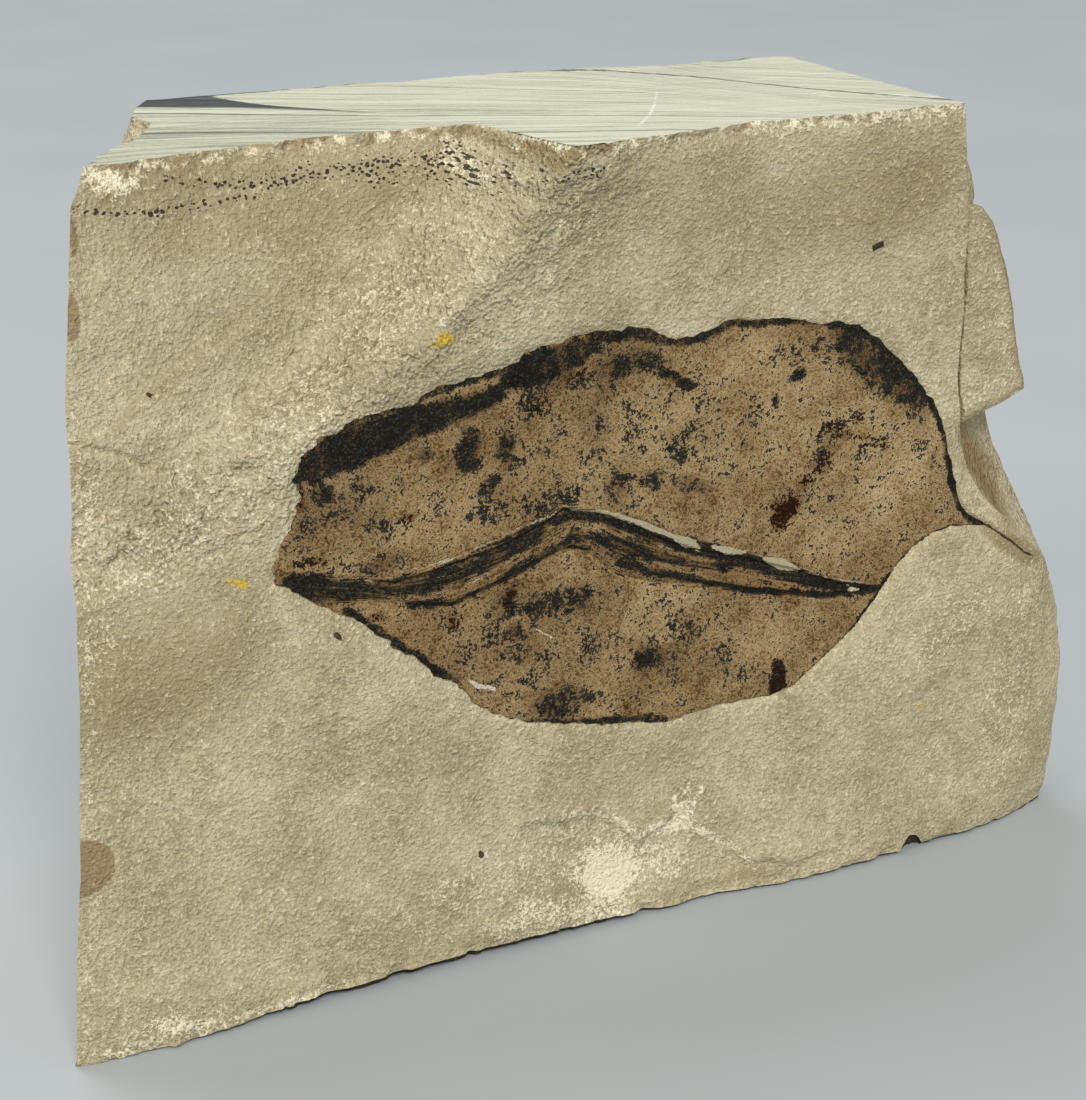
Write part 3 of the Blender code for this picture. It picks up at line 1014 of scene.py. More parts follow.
    def marked(self, name: str, shift: float, *grains: tuple[object, float]) -> bpy.types.NodeSocket:
        """Read a stored mark and break it up.

        Args:
            name: Name of the mark.
            shift: Added to the whole.
            grains: Grains to add, each with its weight.

        Returns:
            The mark with its broken edges.
        """
        return self.sum((self.mark(name), 1.0), *grains, (shift, 1.0))

    def thin_line(self, value: object, half: float, soft: float) -> bpy.types.NodeSocket:
        """Draw a thin line where a value crosses 0, from 1 on the line to 0 beside it."""
        size = self._node("Math", {0: value}, operation="ABSOLUTE").outputs["Value"]
        return self.between(self.sum((size, -1.0), (half + soft, 1.0)), 0.0, soft)

    def product(self, first: object, second: object) -> bpy.types.NodeSocket:
        """Multiply two values."""
        return self._node("Math", {0: first, 1: second}, operation="MULTIPLY").outputs["Value"]

    def between(self, value: object, low: float, high: float) -> bpy.types.NodeSocket:
        """Ease from 0 to 1 as a value goes from low to high."""
        inputs = {"Value": value, "From Min": low, "From Max": high}
        return self._node("MapRange", inputs, interpolation_type="SMOOTHSTEP").outputs["Result"]

    def mix(self, share: object, first: object, second: object) -> bpy.types.NodeSocket:
        """Mix two colours, with a share of the second."""
        return self._node("Mix", {"Factor": share, 6: first, 7: second}, data_type="RGBA").outputs[2]

    def overlay(
        self, colour: object, over: object, value: object, low: float, high: float, most: float
    ) -> bpy.types.NodeSocket:
        """Lay one colour over another, the more of it the higher a value is.

        Args:
            colour: The colour underneath.
            over: The colour on top.
            value: What decides how much of it shows.
            low: The value where none shows.
            high: The value where the most shows.
            most: The largest share that shows.

        Returns:
            The mixed colour.
        """
        return self.mix(self.product(self.between(value, low, high), most), colour, over)

    def ramp(self, value: object, stops: Sequence[tuple[float, tuple]]) -> bpy.types.NodeSocket:
        """Turn a value into a colour by stops of (position, colour).

        Args:
            value: The value.
            stops: The stops, from low to high.

        Returns:
            The colour.
        """
        node = self._node("ValToRGB", {"Fac": value})
        points = node.color_ramp.elements
        points[0].position, points[0].color = stops[0]
        points[-1].position, points[-1].color = stops[-1]
        for position, colour in stops[1:-1]:
            points.new(position).color = colour
        return node.outputs["Color"]

    def surface(
        self, colour: object, roughness: object, height: object, depth: float, gloss: float
    ) -> bpy.types.Material:
        """Finish the layout with bumps and a shader.

        Args:
            colour: Base colour.
            roughness: Roughness.
            height: Height of the bumps, from 0 to 1.
            depth: Depth of the bumps in millimetres.
            gloss: Specular level, the same all over.

        Returns:
            The finished material.
        """
        bumps = self._node("Bump", {"Strength": 1.0, "Distance": depth * MM, "Height": height})
        shader = self._node("BsdfPrincipled", {
            "Base Color": colour, "Roughness": roughness, "Normal": bumps.outputs["Normal"],
            "Specular IOR Level": gloss,
        })
        self._node("OutputMaterial", {"Surface": shader.outputs["BSDF"]})
        return self.material


@dataclass(frozen=True)
class SplitStoneFinish:
    """Matt, sandy split mudstone with soft beds, pale bruises, small stains, and painted shade in pits,
    recess, crack and under the base.
    """

    middle: Colour = paint(184, 172, 139)
    light: Colour = paint(204, 194, 163)
    dark: Colour = paint(156, 144, 112)
    cream: Colour = paint(242, 232, 202)
    # Darker, warmer tint; also the painted shade in the crumb pits, the recess under the flake and beside the
    # crack.
    shade: Colour = paint(140, 122, 84)
    # Brown stains; also painted shade in the recess under the flake.
    stain: Colour = paint(136, 112, 76)
    # Black marks; also painted shade under the lifted base edge and in the hairline crack.
    black: Colour = paint(27, 23, 16)
    yellow: Colour = paint(214, 176, 22)
    black_chip: tuple[float, float, float, float, float] = (83.0, 65.8, 0.62, 0.28, 17.0)
    dot_spacing: tuple[float, float] = (0.56, 0.4)
    dot_slant: float = -18.0
    pebble: float = 0.4
    bump_depth: float = 0.145
    roughness: float = 0.93
    gloss: float = 0.2

    def material(self) -> bpy.types.Material:
        """Lay out the nodes.

        Returns:
            The finished material.
        """
        work = Finish("split_mudstone")
        broad = work.crisp_grain(9.0, 2.0, 0.6)
        middling = work.crisp_grain(1.7, 2.0, 0.65)
        peel = work.crisp_grain(0.62, 1.0, 0.6)
        sand = work.crisp_grain(0.32, 1.0, 0.8)
        fine = work.crisp_grain(0.15, 0.0, 0.5)
        pebbles = work.cells(self.pebble)
        rough = work.mark("rough")
        crumb = work.sum((work.crisp_grain(1.5, 2.0, 0.75), 0.8), (pebbles, -0.4), (0.3, 1.0))
        tone = work.sum((broad, 0.26), (middling, 0.18), (peel, 0.12), (sand, 0.24), (fine, 0.2))
        colour = work.ramp(tone, ((0.2, self.dark), (0.5, self.middle), (0.8, self.light)))
        # Painted shade: where the crumb bumps are low, the pits are darkened toward the shade colour.
        pit_painted_shade = work.product(rough, work.between(work.sum((crumb, -1.0), (sand, 0.3), (0.2, 1.0)), 0.0, 0.45))
        colour = work.mix(work.product(pit_painted_shade, 0.6), colour, self.shade)
        # Darker tints, and painted shade in the recess under the flake and beside the crack.
        shaded = work.marked("shade", -0.17, (middling, 0.2), (sand, 0.15))
        colour = work.overlay(colour, self.shade, shaded, 0.0, 1.1, 0.85)
        pale = work.marked("pale", -0.65, (sand, 0.6), (peel, 0.4), (fine, 0.3))
        colour = work.overlay(colour, self.cream, pale, 0.2, 0.9, 0.9)
        # Stains, and painted shade in the recess under the flake.
        stain = work.marked("stain", -0.27, (sand, 0.25), (middling, 0.3))
        colour = work.overlay(colour, self.stain, stain, 0.4, 0.65, 0.75)
        dots = work.dashes(*self.dot_spacing, self.dot_slant)
        dotted = work.marked("dots", -0.06, (dots, -1.9), (peel, 0.6))
        colour = work.overlay(colour, self.black, dotted, 0.42, 0.52, 0.9)
        # Black marks, and painted shade under the lifted base edge and in the hairline crack.
        colour = work.overlay(colour, self.black, work.marked("black", -0.15, (sand, 0.3)), 0.45, 0.65, 0.9)
        colour = work.mix(work.product(work.chip(*self.black_chip), 0.92), colour, self.black)
        yellow = work.marked("yellow", -0.5, (fine, 0.5), (sand, 0.5))
        colour = work.overlay(colour, self.yellow, yellow, 0.4, 0.6, 0.85)
        height = work.sum((pebbles, -0.8), (peel, 0.45), (sand, 0.5), (work.product(rough, crumb), 3.9))
        return work.surface(colour, self.roughness, height, self.bump_depth, self.gloss)


@dataclass(frozen=True)
class SawnStoneFinish:
    """Sawn mudstone: pale, with fine saw lines, dark laminae and a few scratches."""

    pale: Colour = paint(188, 187, 164)
    light: Colour = paint(212, 212, 193)
    grey: Colour = paint(140, 141, 125)
    dark: Colour = paint(70, 74, 68)
    blue: Colour = paint(46, 53, 60)
    scratch: Colour = paint(232, 232, 224)
    laminae: Sequence[Point] = (
        (0.065, 0.008, 0.8), (0.13, 0.006, 0.5), (0.2, 0.007, 1.0), (0.235, 0.005, 0.55), (0.28, 0.004, 0.4),
        (0.45, 0.004, 0.3), (0.7, 0.006, 1.0), (0.722, 0.004, 0.7), (0.76, 0.005, 0.8), (0.82, 0.004, 0.45),
    )
    saw_stretch: Point = (50.0, 1.0, 50.0)
    saw_turn: Point = (0.0, 0.0, 12.0)
    bump_depth: float = 0.05
    roughness: float = 0.8
    gloss: float = 0.3

    def lamina_stops(self) -> list[tuple[float, tuple]]:
        """Give the colour stops of the laminae, each from nothing to its shade and back.

        Returns:
            The stops, from low to high.
        """
        clear = (0.0, 0.0, 0.0, 1.0)
        stops = []
        for place, half, shade in self.laminae:
            stops += [(place - half, clear), (place, (shade, shade, shade, 1.0)), (place + half, clear)]
        return stops

    def material(self) -> bpy.types.Material:
        """Lay out the nodes.

        Returns:
            The finished material.
        """
        work = Finish("sawn_mudstone")
        bed = work.mark("bed")
        thin = work.beds(bed, 130.0, 0.045)
        thick = work.beds(bed, 34.0, 0.02)
        broad = work.beds(bed, 9.0, 0.02)
        saw = work.crisp_grain(0.28, 2.0, 0.6, stretch=self.saw_stretch, turn=self.saw_turn)
        cloud = work.crisp_grain(12.0, 2.0, 0.5)
        sand = work.crisp_grain(0.3, 2.0, 0.6)
        left = work.between(work.mark("left"), 0.0, 1.0)
        tone = work.sum(
            (thin, 0.3), (thick, 0.22), (broad, 0.14), (saw, 0.2), (cloud, 0.06), (sand, 0.08), (left, -0.14)
        )
        colour = work.ramp(tone, ((0.22, self.grey), (0.42, self.pale), (0.78, self.light)))
        across = work.sum((bed, 0.5), (thick, 0.006), (cloud, 0.006), (0.2, 1.0))
        lines = work.ramp(across, self.lamina_stops())
        back = work.thin_line(work.sum((work.mark("back_line"), 1.0), (thick, 0.6)), 0.3, 0.5)
        streaky = work.sum((lines, 0.9), (back, 0.7), (thin, 0.2), (saw, 0.15), (-0.15, 1.0))
        colour = work.overlay(colour, self.dark, streaky, 0.2, 0.75, 0.85)
        low_side = work.between(work.marked("wedge_low", -0.6, (thin, 1.2)), -0.3, 0.9)
        top_side = work.between(work.mark("wedge_top"), -0.2, 0.5)
        fade = work.between(work.sum((thick, 0.5), (thin, 0.4), (saw, 0.2), (0.45, 1.0)), 0.2, 0.95)
        wedge = work.product(work.product(low_side, top_side), fade)
        colour = work.mix(wedge, colour, work.mix(thin, self.blue, self.dark))
        colour = work.overlay(colour, self.dark, work.marked("sliver", -0.2, (saw, 0.4)), 0.4, 0.7, 0.85)
        arc = work.thin_line(work.sum((work.mark("arc"), 1.0), (sand, 0.2)), 0.07, 0.14)
        arc = work.product(arc, work.mark("scratched"))
        short = work.between(work.crisp_grain(1.5, 1.0, 0.5, stretch=(1.0, 0.5, 1.0)), 0.75, 0.9)
        short = work.product(short, work.mark("dashed"))
        scratches = work.product(work.sum((arc, 0.7), (short, 0.8)), work.between(saw, 0.1, 0.6))
        colour = work.mix(scratches, colour, self.scratch)
        height = work.sum((saw, 0.6), (sand, 0.4), (thin, 0.3))
        return work.surface(colour, self.roughness, height, self.bump_depth, self.gloss)


@dataclass(frozen=True)
class LeafFinish:
    """Brown leaf film with black carbon and a painted grey sheen on it, rust stains, and bare and scratched
    spots.
    """

    brown: Colour = paint(146, 121, 83)
    tan: Colour = paint(170, 146, 105)
    umber: Colour = paint(108, 84, 52)
    bistre: Colour = paint(62, 47, 28)
    sand: Colour = paint(194, 172, 134)
    carbon: Colour = paint(9, 11, 12)
    carbon_thin: Colour = paint(25, 24, 19)
    graphite_sheen: Colour = paint(74, 74, 66)
    # Grey flecks on the carbon: partly its grit, partly a painted sheen.
    rust: Colour = paint(38, 19, 6)
    orange: Colour = paint(146, 108, 70)
    stone: Colour = paint(176, 167, 138)
    scratch: Colour = paint(222, 210, 190)
    clump_spread: float = 0.16
    bump_depth: float = 0.1
    roughness: float = 0.74
    gloss: float = 0.08

    def material(self) -> bpy.types.Material:
        """Lay out the nodes.

        Returns:
            The finished material.
        """
        work = Finish("leaf_film")
        speck = work.crisp_grain(0.42, 2.0, 0.8)
        grit = work.crisp_grain(0.22, 1.0, 0.5, turn=(20.0, 30.0, 0.0))
        clump = work.crisp(work.grain(2.6, 6.0, 0.74, swirl=0.3), self.clump_spread)
        broad = work.crisp_grain(6.0, 2.0, 0.5)
        zone = work.mark("rib_zone")
        streak = work.beds(work.mark("rib"), 11.0, 0.22)
        thread = work.beds(work.mark("rib"), 26.0, 0.4)
        ribbed = work.product(zone, work.sum((streak, 0.6), (thread, 0.4), (-0.5, 1.0)))
        tone = work.sum(
            (broad, 0.12), (clump, 0.36), (speck, 0.28), (grit, 0.26), (work.mark("tan"), 0.16), (ribbed, 0.4)
        )
        browns = (
            (0.14, self.bistre), (0.32, self.umber), (0.5, self.brown), (0.66, self.tan), (0.86, self.sand),
        )
        colour = work.ramp(tone, browns)
        warm = work.marked("orange", -0.25, (clump, 0.5), (ribbed, 0.6))
        colour = work.overlay(colour, self.orange, warm, 0.1, 1.0, 0.6)
        bare = work.marked("bare", -0.3, (clump, 0.3), (speck, 0.3))
        bare = work.sum((bare, 1.0), (work.product(zone, work.between(thread, 0.72, 0.95)), 0.3))
        bare_share = work.between(bare, 0.45, 0.6)
        rust = work.marked("rust", -0.87, (clump, 0.5), (speck, 0.8), (grit, 0.5))
        colour = work.overlay(colour, self.rust, rust, 0.26, 0.48, 1.0)
        film = work.sum(
            (work.mark("carbon"), 1.18), (clump, 0.95), (speck, 0.66), (grit, 0.5), (ribbed, 1.4),
            (-1.03, 1.0),
        )
        film_share = work.between(film, 0.34, 0.66)
        ink = work.mix(work.between(film, 0.4, 0.85), self.carbon_thin, self.carbon)
        # Grey flecks over the carbon, partly a painted sheen.
        ink = work.overlay(ink, self.graphite_sheen, work.sum((grit, 0.6), (speck, 0.5)), 0.62, 0.95, 0.55)
        colour = work.mix(work.product(film_share, 0.97), colour, ink)
        colour = work.mix(work.product(bare_share, 0.88), colour, self.stone)
        colour = work.overlay(colour, self.scratch, work.marked("nick", -0.2, (speck, 0.4)), 0.5, 0.65, 0.8)
        height = work.sum(
            (speck, 0.5), (clump, 0.3), (film_share, 0.2), (bare_share, -0.4), (grit, 0.2), (ribbed, 0.6)
        )
        roughness = work.sum((film_share, -0.15), (speck, 0.1), (self.roughness, 1.0))
        return work.surface(colour, roughness, height, self.bump_depth, self.gloss)


@dataclass(frozen=True)
class FloorFinish:
    """Plain pale studio floor."""

    colour: Colour = paint(168, 173, 174)
    worn: Colour = paint(177, 182, 183)
    bump_depth: float = 0.01
    roughness: float = 0.6
    gloss: float = 0.3

    def material(self) -> bpy.types.Material:
        """Lay out the nodes.

        Returns:
            The finished material.
        """
        work = Finish("studio_floor")
        colour = work.mix(work.grain(60.0, 1.0, 0.6), self.colour, self.worn)
        return work.surface(colour, self.roughness, work.grain(40.0, 0.0), self.bump_depth, self.gloss)


@dataclass
class StoneBlock:
    """The block of mudstone with its split front, sawn top and rough sides."""

    form: BlockForm = field(default_factory=BlockForm)
    parts: tuple[int, int, int] = (98, 36, 70)
    fine_rows: float = 4.5
    fine_parts: int = 3
    side_roughness: float = 1.2
    base_gap: Table = (
        (0.0, 0.0), (5.0, 0.15), (12.0, 0.3), (17.0, 0.55), (22.0, 0.9), (30.0, 1.0), (45.0, 1.0),
        (56.0, 0.8), (63.0, 0.4), (74.0, 0.3), (82.0, 0.45), (93.4, 0.5), (104.0, 0.35), (108.0, 0.1),
    )
    gap_most: float = 1.2
    undercut: float = 0.9
    crease: float = 50.0
    notch: tuple[float, float, float] = (90.9, 1.6, 1.75)
    lamina_near: Table = (
        (14.0, 31.5), (21.0, 28.4), (25.8, 25.8), (33.7, 20.9), (41.5, 16.0), (47.4, 13.4), (52.7, 10.5),
        (60.0, 6.5), (70.0, 0.0), (80.0, -8.0), (92.0, -20.0),
    )
    lamina_far: Table = (
        (14.0, 76.0), (30.0, 62.0), (50.0, 48.0), (60.0, 38.0), (66.0, 33.0), (70.5, 26.0), (72.5, 19.6),
        (76.3, 12.8), (79.1, 6.7), (81.7, 2.1), (85.1, -1.0), (93.0, -9.0),
    )
    back_line: Table = (
        (62.0, 34.6), (64.0, 33.6), (70.5, 30.2), (77.1, 21.5), (82.1, 11.2), (87.8, 2.8), (93.0, -4.0),
    )
    wedge_low: Table = (
        (20.0, 32.0), (23.2, 30.6), (25.5, 29.0), (29.7, 26.7), (33.9, 23.2), (39.0, 18.9), (44.0, 14.5),
    )
    wedge_top: Table = (
        (20.0, 44.0), (28.0, 40.0), (29.5, 35.6), (31.0, 30.5), (33.0, 26.6), (39.0, 19.6), (44.0, 14.0),
    )
    scratch_line: Table = ((-6.0, 53.0), (1.1, 58.1), (5.1, 61.6), (9.5, 64.7), (15.6, 68.7), (30.0, 76.0))
    pale_marks: Marks = (
        Patch(55.3, 5.8, 4.6, 3.8, 0.95), Patch(54.9, 5.2, 3.4, 2.8, 1.3),
        Patch(61.0, 5.2, 4.0, 2.2, 0.5), Patch(47.0, 2.8, 6.0, 1.8, 0.5), Patch(53.0, 1.6, 6.0, 1.6, 0.6),
        Patch(9.6, 2.2, 3.6, 1.1, 0.7), Patch(38.0, 7.0, 7.0, 3.0, 0.2, 10.0),
        Patch(47.0, 9.0, 9.0, 4.0, 0.22, 12.0),
        Streak((
            (50.0, 13.1, 0.02), (53.6, 12.3, 0.1), (56.1, 11.0, 0.14), (58.3, 8.9, 0.16),
            (61.4, 9.4, 0.2), (65.7, 7.4, 0.12), (68.9, 5.6, 0.08), (71.5, 2.6, 0.05)
        ), 0.62, 0.45),
        Streak(((63.2, 9.4, 0.35), (62.3, 12.2, 0.1)), 0.85),
        Streak(((63.4, 9.2, 0.4), (65.8, 12.4, 0.1)), 0.85),
        Streak(((63.0, 9.2, 0.5), (60.2, 8.2, 0.15)), 0.8),
        Streak(((63.4, 9.0, 0.5), (67.2, 6.7, 0.12)), 0.8),
        Streak(((63.2, 9.4, 0.5), (64.2, 13.4, 0.05)), 0.6), Patch(63.2, 9.2, 1.5, 1.0, 0.9),
        Patch(10.6, 77.8, 2.6, 1.0, 0.85, -12.0), Patch(4.8, 1.2, 5.0, 0.6, 0.5),
        Patch(17.0, 0.8, 9.0, 0.6, 0.5), Patch(5.5, 51.5, 1.6, 3.5, 0.4),
        Patch(9.5, 46.0, 5.0, 3.0, 0.28, 35.0), Patch(4.6, 40.5, 1.8, 5.0, 0.24),
        Patch(39.6, 71.2, 3.2, 4.0, 0.16, 40.0), Patch(42.6, 76.2, 2.6, 1.4, 0.42),
        Patch(33.5, 64.5, 5.5, 2.6, 0.26, 45.0), Patch(24.0, 55.5, 6.0, 2.4, 0.3, 48.0),
        Patch(14.0, 48.5, 5.0, 2.4, 0.26, 38.0), Patch(96.0, 24.0, 9.0, 3.0, 0.22, 30.0),
        Patch(104.0, 12.0, 4.0, 9.0, 0.22), Patch(105.0, 24.0, 3.0, 7.0, 0.18),
        Patch(80.0, 78.6, 14.0, 0.5, 0.7),
        Streak(((1.2, 2.0, 0.2), (3.0, 20.0, 0.05), (3.6, 40.0, 0.1), (5.0, 60.0, 0.1)), 0.25, 0.5),
    )
    # Darker, warmer tints of the stone, with painted shade in the recess under the flake.
    shade_marks: Marks = (
        Patch(9.0, 36.0, 13.0, 8.0, 0.6), Patch(40.0, 75.0, 8.0, 5.0, 0.34),
        Patch(36.0, 66.0, 8.0, 6.0, 0.22, 45.0), Patch(100.0, 62.0, 5.0, 12.0, 0.16),
        Patch(20.0, 77.0, 18.0, 2.2, 0.6),
        Streak(((44.6, 78.6, 0.2), (46.8, 77.6, 0.5), (49.5, 78.4, 0.2)), 0.9, 0.8),
        Patch(26.0, 73.5, 20.0, 4.5, 0.56, 3.0), Patch(20.0, 66.0, 13.0, 6.0, 0.3, 20.0),
        Patch(61.0, 73.0, 12.0, 6.5, 0.34), Patch(82.0, 71.0, 14.0, 7.0, 0.6),
        # Painted shade: the first patch on this line and on the next is the recess under the flake.
        Patch(101.2, 39.2, 2.0, 7.0, 1.3, 27.0), Patch(5.2, 54.0, 1.4, 1.6, 0.6),
        Patch(97.6, 43.6, 1.6, 4.0, 0.95, 20.0), Patch(60.0, 17.0, 13.0, 3.0, 0.3, 6.0),
        Patch(37.0, 22.0, 8.0, 4.0, 0.22, -30.0), Patch(54.0, 14.6, 6.0, 2.6, 0.42),
        Patch(70.0, 1.6, 6.0, 1.0, 0.5),
        Streak(((99.4, 34.2, 0.3), (102.0, 32.3, 0.6), (105.5, 30.2, 0.8)), 0.85, 0.9),
        Streak(((103.0, 31.2, 0.4), (105.0, 31.0, 0.7), (107.0, 29.6, 0.4)), 0.7, 0.8),
        Patch(12.0, 33.0, 10.0, 2.0, 0.3, 12.0), Patch(27.0, 13.0, 16.0, 5.0, 0.12),
        Patch(38.0, 2.0, 14.0, 1.2, 0.3), Patch(108.4, 25.0, 1.0, 7.0, 0.3),
        Patch(109.2, 8.0, 0.8, 8.0, 0.3),
        Streak(((7.7, 56.9, 0.2), (11.8, 59.9, 0.3), (16.7, 62.1, 0.2)), 0.5, 0.8),
    )
    stain_and_painted_shade_marks: Marks = (
        # Painted shade: these two patches darken the recess under the flake; the rest are stains.
        Patch(99.2, 42.0, 1.8, 4.8, 0.62, 20.0), Patch(101.8, 37.8, 1.8, 4.6, 0.62, 27.0),
        Streak(((1.4, 19.2, 2.6), (2.2, 19.2, 2.5)), 1.0, 0.3), Patch(5.4, 67.2, 0.8, 2.4, 1.0),
        Patch(6.2, 74.0, 0.5, 2.6, 0.9), Patch(11.7, 77.9, 0.4, 0.3, 0.9),
        Patch(17.4, 78.7, 4.0, 0.35, 0.6), Patch(28.5, 78.8, 5.0, 0.3, 0.6),
        Patch(60.0, 78.7, 6.0, 0.35, 0.55), Patch(74.5, 78.6, 5.0, 0.4, 0.5),
        Patch(87.0, 78.2, 3.0, 0.35, 0.6), Patch(39.0, 64.5, 2.2, 1.4, 0.42),
        Patch(35.2, 60.2, 1.8, 1.2, 0.4), Patch(27.5, 57.2, 1.4, 0.8, 0.3),
    )
    dot_marks: Marks = (
        Streak((
            (6.7, 75.9, 0.1), (8.2, 75.5, 0.14), (13.6, 74.7, 0.2), (18.4, 74.8, 0.18), (23.5, 74.9, 0.1)
        ), 0.95, 0.3),
        Streak((
            (15.3, 77.2, 0.1), (18.6, 76.5, 0.2), (24.7, 75.6, 0.22), (31.2, 76.0, 0.3),
            (38.0, 76.4, 0.3)
        ), 0.95, 0.35),
        Patch(35.5, 75.6, 3.2, 1.8, 0.72), Patch(42.0, 75.9, 3.8, 1.9, 0.8),
        Patch(28.0, 76.2, 6.0, 0.9, 0.62), Patch(49.0, 76.4, 3.6, 0.8, 0.72),
    )
    black_marks: Marks = (
        Streak((
            (46.4, 78.95, 0.0), (48.4, 78.9, 0.1), (50.6, 78.95, 0.1), (51.8, 78.95, 0.0)
        ), 0.66, 0.3),
        Streak(((26.6, 36.4, 0.16), (26.8, 36.2, 0.16)), 1.5, 0.25),
        Streak(((40.9, 11.0, 0.12), (41.0, 11.1, 0.12)), 1.5, 0.25),
        Streak(((11.7, 59.8, 0.02), (11.8, 59.8, 0.02)), 1.4, 0.25),
        Streak((
            (99.2, 34.7, 0.06), (101.2, 33.3, 0.04), (102.6, 32.3, 0.05), (104.5, 30.8, 0.06),
            (105.9, 30.0, 0.02)
        ), 0.85, 0.22),
        # Painted shade along the front's edge where it turns back into the recess under the flake, running on
        # from the hairline crack.
        Streak((
            (94.4, 46.8, 0.0), (95.9, 44.0, 0.0), (97.0, 41.3, 0.02), (99.0, 38.0, 0.02),
            (101.5, 35.4, 0.0)
        ), 0.62, 0.25),
    )
    yellow_marks: Marks = (
        Patch(37.0, 62.75, 0.62, 0.5, 1.1), Patch(36.3, 62.3, 0.55, 0.26, 0.9),
        Patch(37.5, 62.4, 0.4, 0.26, 0.8), Patch(35.8, 60.4, 0.4, 0.25, 0.7),
        Patch(17.8, 42.7, 0.7, 0.3, 0.95, -20.0), Patch(16.9, 43.2, 0.5, 0.3, 0.85),
        Patch(92.1, 16.1, 0.7, 0.3, 0.62),
    )

    def build(self) -> bpy.types.Object:
        """Make the block.

        Returns:
            The finished piece.
        """
        piece = Bench.gridded_block("mudstone_block", self.parts)
        limit = self.fine_rows / self.parts[1]
        Bench.refine(piece, lambda centre: centre[:, 1] < limit, self.fine_parts)
        grid = np.round(Bench.corners(piece), 6)
        top = Bench.centres(piece)[:, 2] > 1.0 - NEAR_ZERO
        layout = self.form.place(grid[:, 0], grid[:, 1], grid[:, 2])
        layout = self._lift_base_edge(layout, grid)
        Bench.set_corners(piece, layout)
        layout = self._roughen(piece, layout, grid)
        Bench.set_corners(piece, Bench.to_frame(layout))
        self._mark(piece, layout, grid)
        Bench.dress(piece, self.crease, SplitStoneFinish().material(), SawnStoneFinish().material())
        piece.data.polygons.foreach_set("material_index", top.astype(np.int32))
        return piece

    def _lift_base_edge(self, layout: np.ndarray, grid: np.ndarray) -> np.ndarray:
        """Undercut the lower front edge a little, with one small round notch.

        Args:
            layout: The points in the layout's millimetres, one row each.
            grid: The same points on the plain unit cube.

        Returns:
            The moved points.
        """
        x, z = layout[:, 0], layout[:, 2]
        behind = self.form.full_depth * grid[:, 1] ** 1.5
        near = smooth(1.0 - (behind - 0.3) / self.undercut)
        gap = reading(self.base_gap, x) + 0.08 * EDGE.layered(x, 0.0, 0.0, 5.0, 3)
        gap = np.clip(gap, 0.0, self.gap_most) * smooth(x - 0.5)
        middle, half, tall = self.notch
        arch = tall * np.sqrt(np.clip(1.0 - ((x - middle) / half) ** 2, 0.0, 1.0))
        lift = np.maximum(gap, arch) * near
        moved = layout.copy()
        moved[:, 2] = z + lift * np.clip(1.0 - z / 5.0, 0.0, 1.0)
        return moved

    def _roughen(self, piece: bpy.types.Object, layout: np.ndarray, grid: np.ndarray) -> np.ndarray:
        """Give the sides and the back their broken relief, and keep the sawn top and the base flat.

        Args:
            piece: The block.
            layout: Its points in the layout's millimetres, one row each.
            grid: The same points on the plain unit cube.

        Returns:
            The moved points.
        """
        normals = np.empty(len(piece.data.vertices) * 3)
        piece.data.vertex_normals.foreach_get("vector", normals)
        normals = normals.reshape(-1, 3)
        x, y, z = layout[:, 0], layout[:, 1], layout[:, 2]
        deep = smooth(grid[:, 1] * self.parts[1] / 6.0)
        beds = ROCK.layered(x * 0.18, y, z * 0.12, 1.6, 2)
        broken = 0.5 * ROCK.layered(x, y, z, 8.0, 3) + 0.25 * beds + 0.45 * CRUMB.chips(x, y * 1.6, z, 6.5)
        broken = broken + 0.2 * CRUMB.chips(x, y * 1.6, z, 2.6)
        outer = np.minimum(grid[:, 0], 1.0 - grid[:, 0]) < 0.02
        broken = np.where(outer, np.maximum(broken + 0.35, 0.0), broken)
        depth = self.side_roughness * broken * deep * np.where(outer, 0.3, 1.0)
        level = (grid[:, 2] > 1.0 - NEAR_ZERO) | (grid[:, 2] < NEAR_ZERO)
        normals[level, 2] = 0.0
        moved = layout - normals * depth[:, None]
        rim = smooth(1.0 - (self.form.height - z) / 1.6) * (0.4 + 0.5 * EDGE.chips(x, y, 0.0, 2.5))
        rim = rim * 0.6 * deep
        moved = moved - normals * np.clip(rim, 0.0, 1.0)[:, None] * np.array((1.0, 1.0, 0.0))
        low, high = self._limits()
        return np.clip(moved, low, high)

    def _limits(self) -> tuple[np.ndarray, np.ndarray]:
        """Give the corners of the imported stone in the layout, which nothing may pass.

        Returns:
            Its lowest and highest corner, in millimetres.
        """
        low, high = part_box("stone")
        shift = np.array(LAYOUT_ORIGIN)
        return np.array(low) / MM + shift, np.array(high) / MM + shift

    def _mark(self, piece: bpy.types.Object, layout: np.ndarray, grid: np.ndarray) -> None:
        """Store the marks that the finishes read.

        Args:
            piece: The block.
            layout: Its points in the layout's millimetres, one row each.
            grid: The same points on the plain unit cube.
        """
        x, y, z = layout[:, 0], layout[:, 1], layout[:, 2]
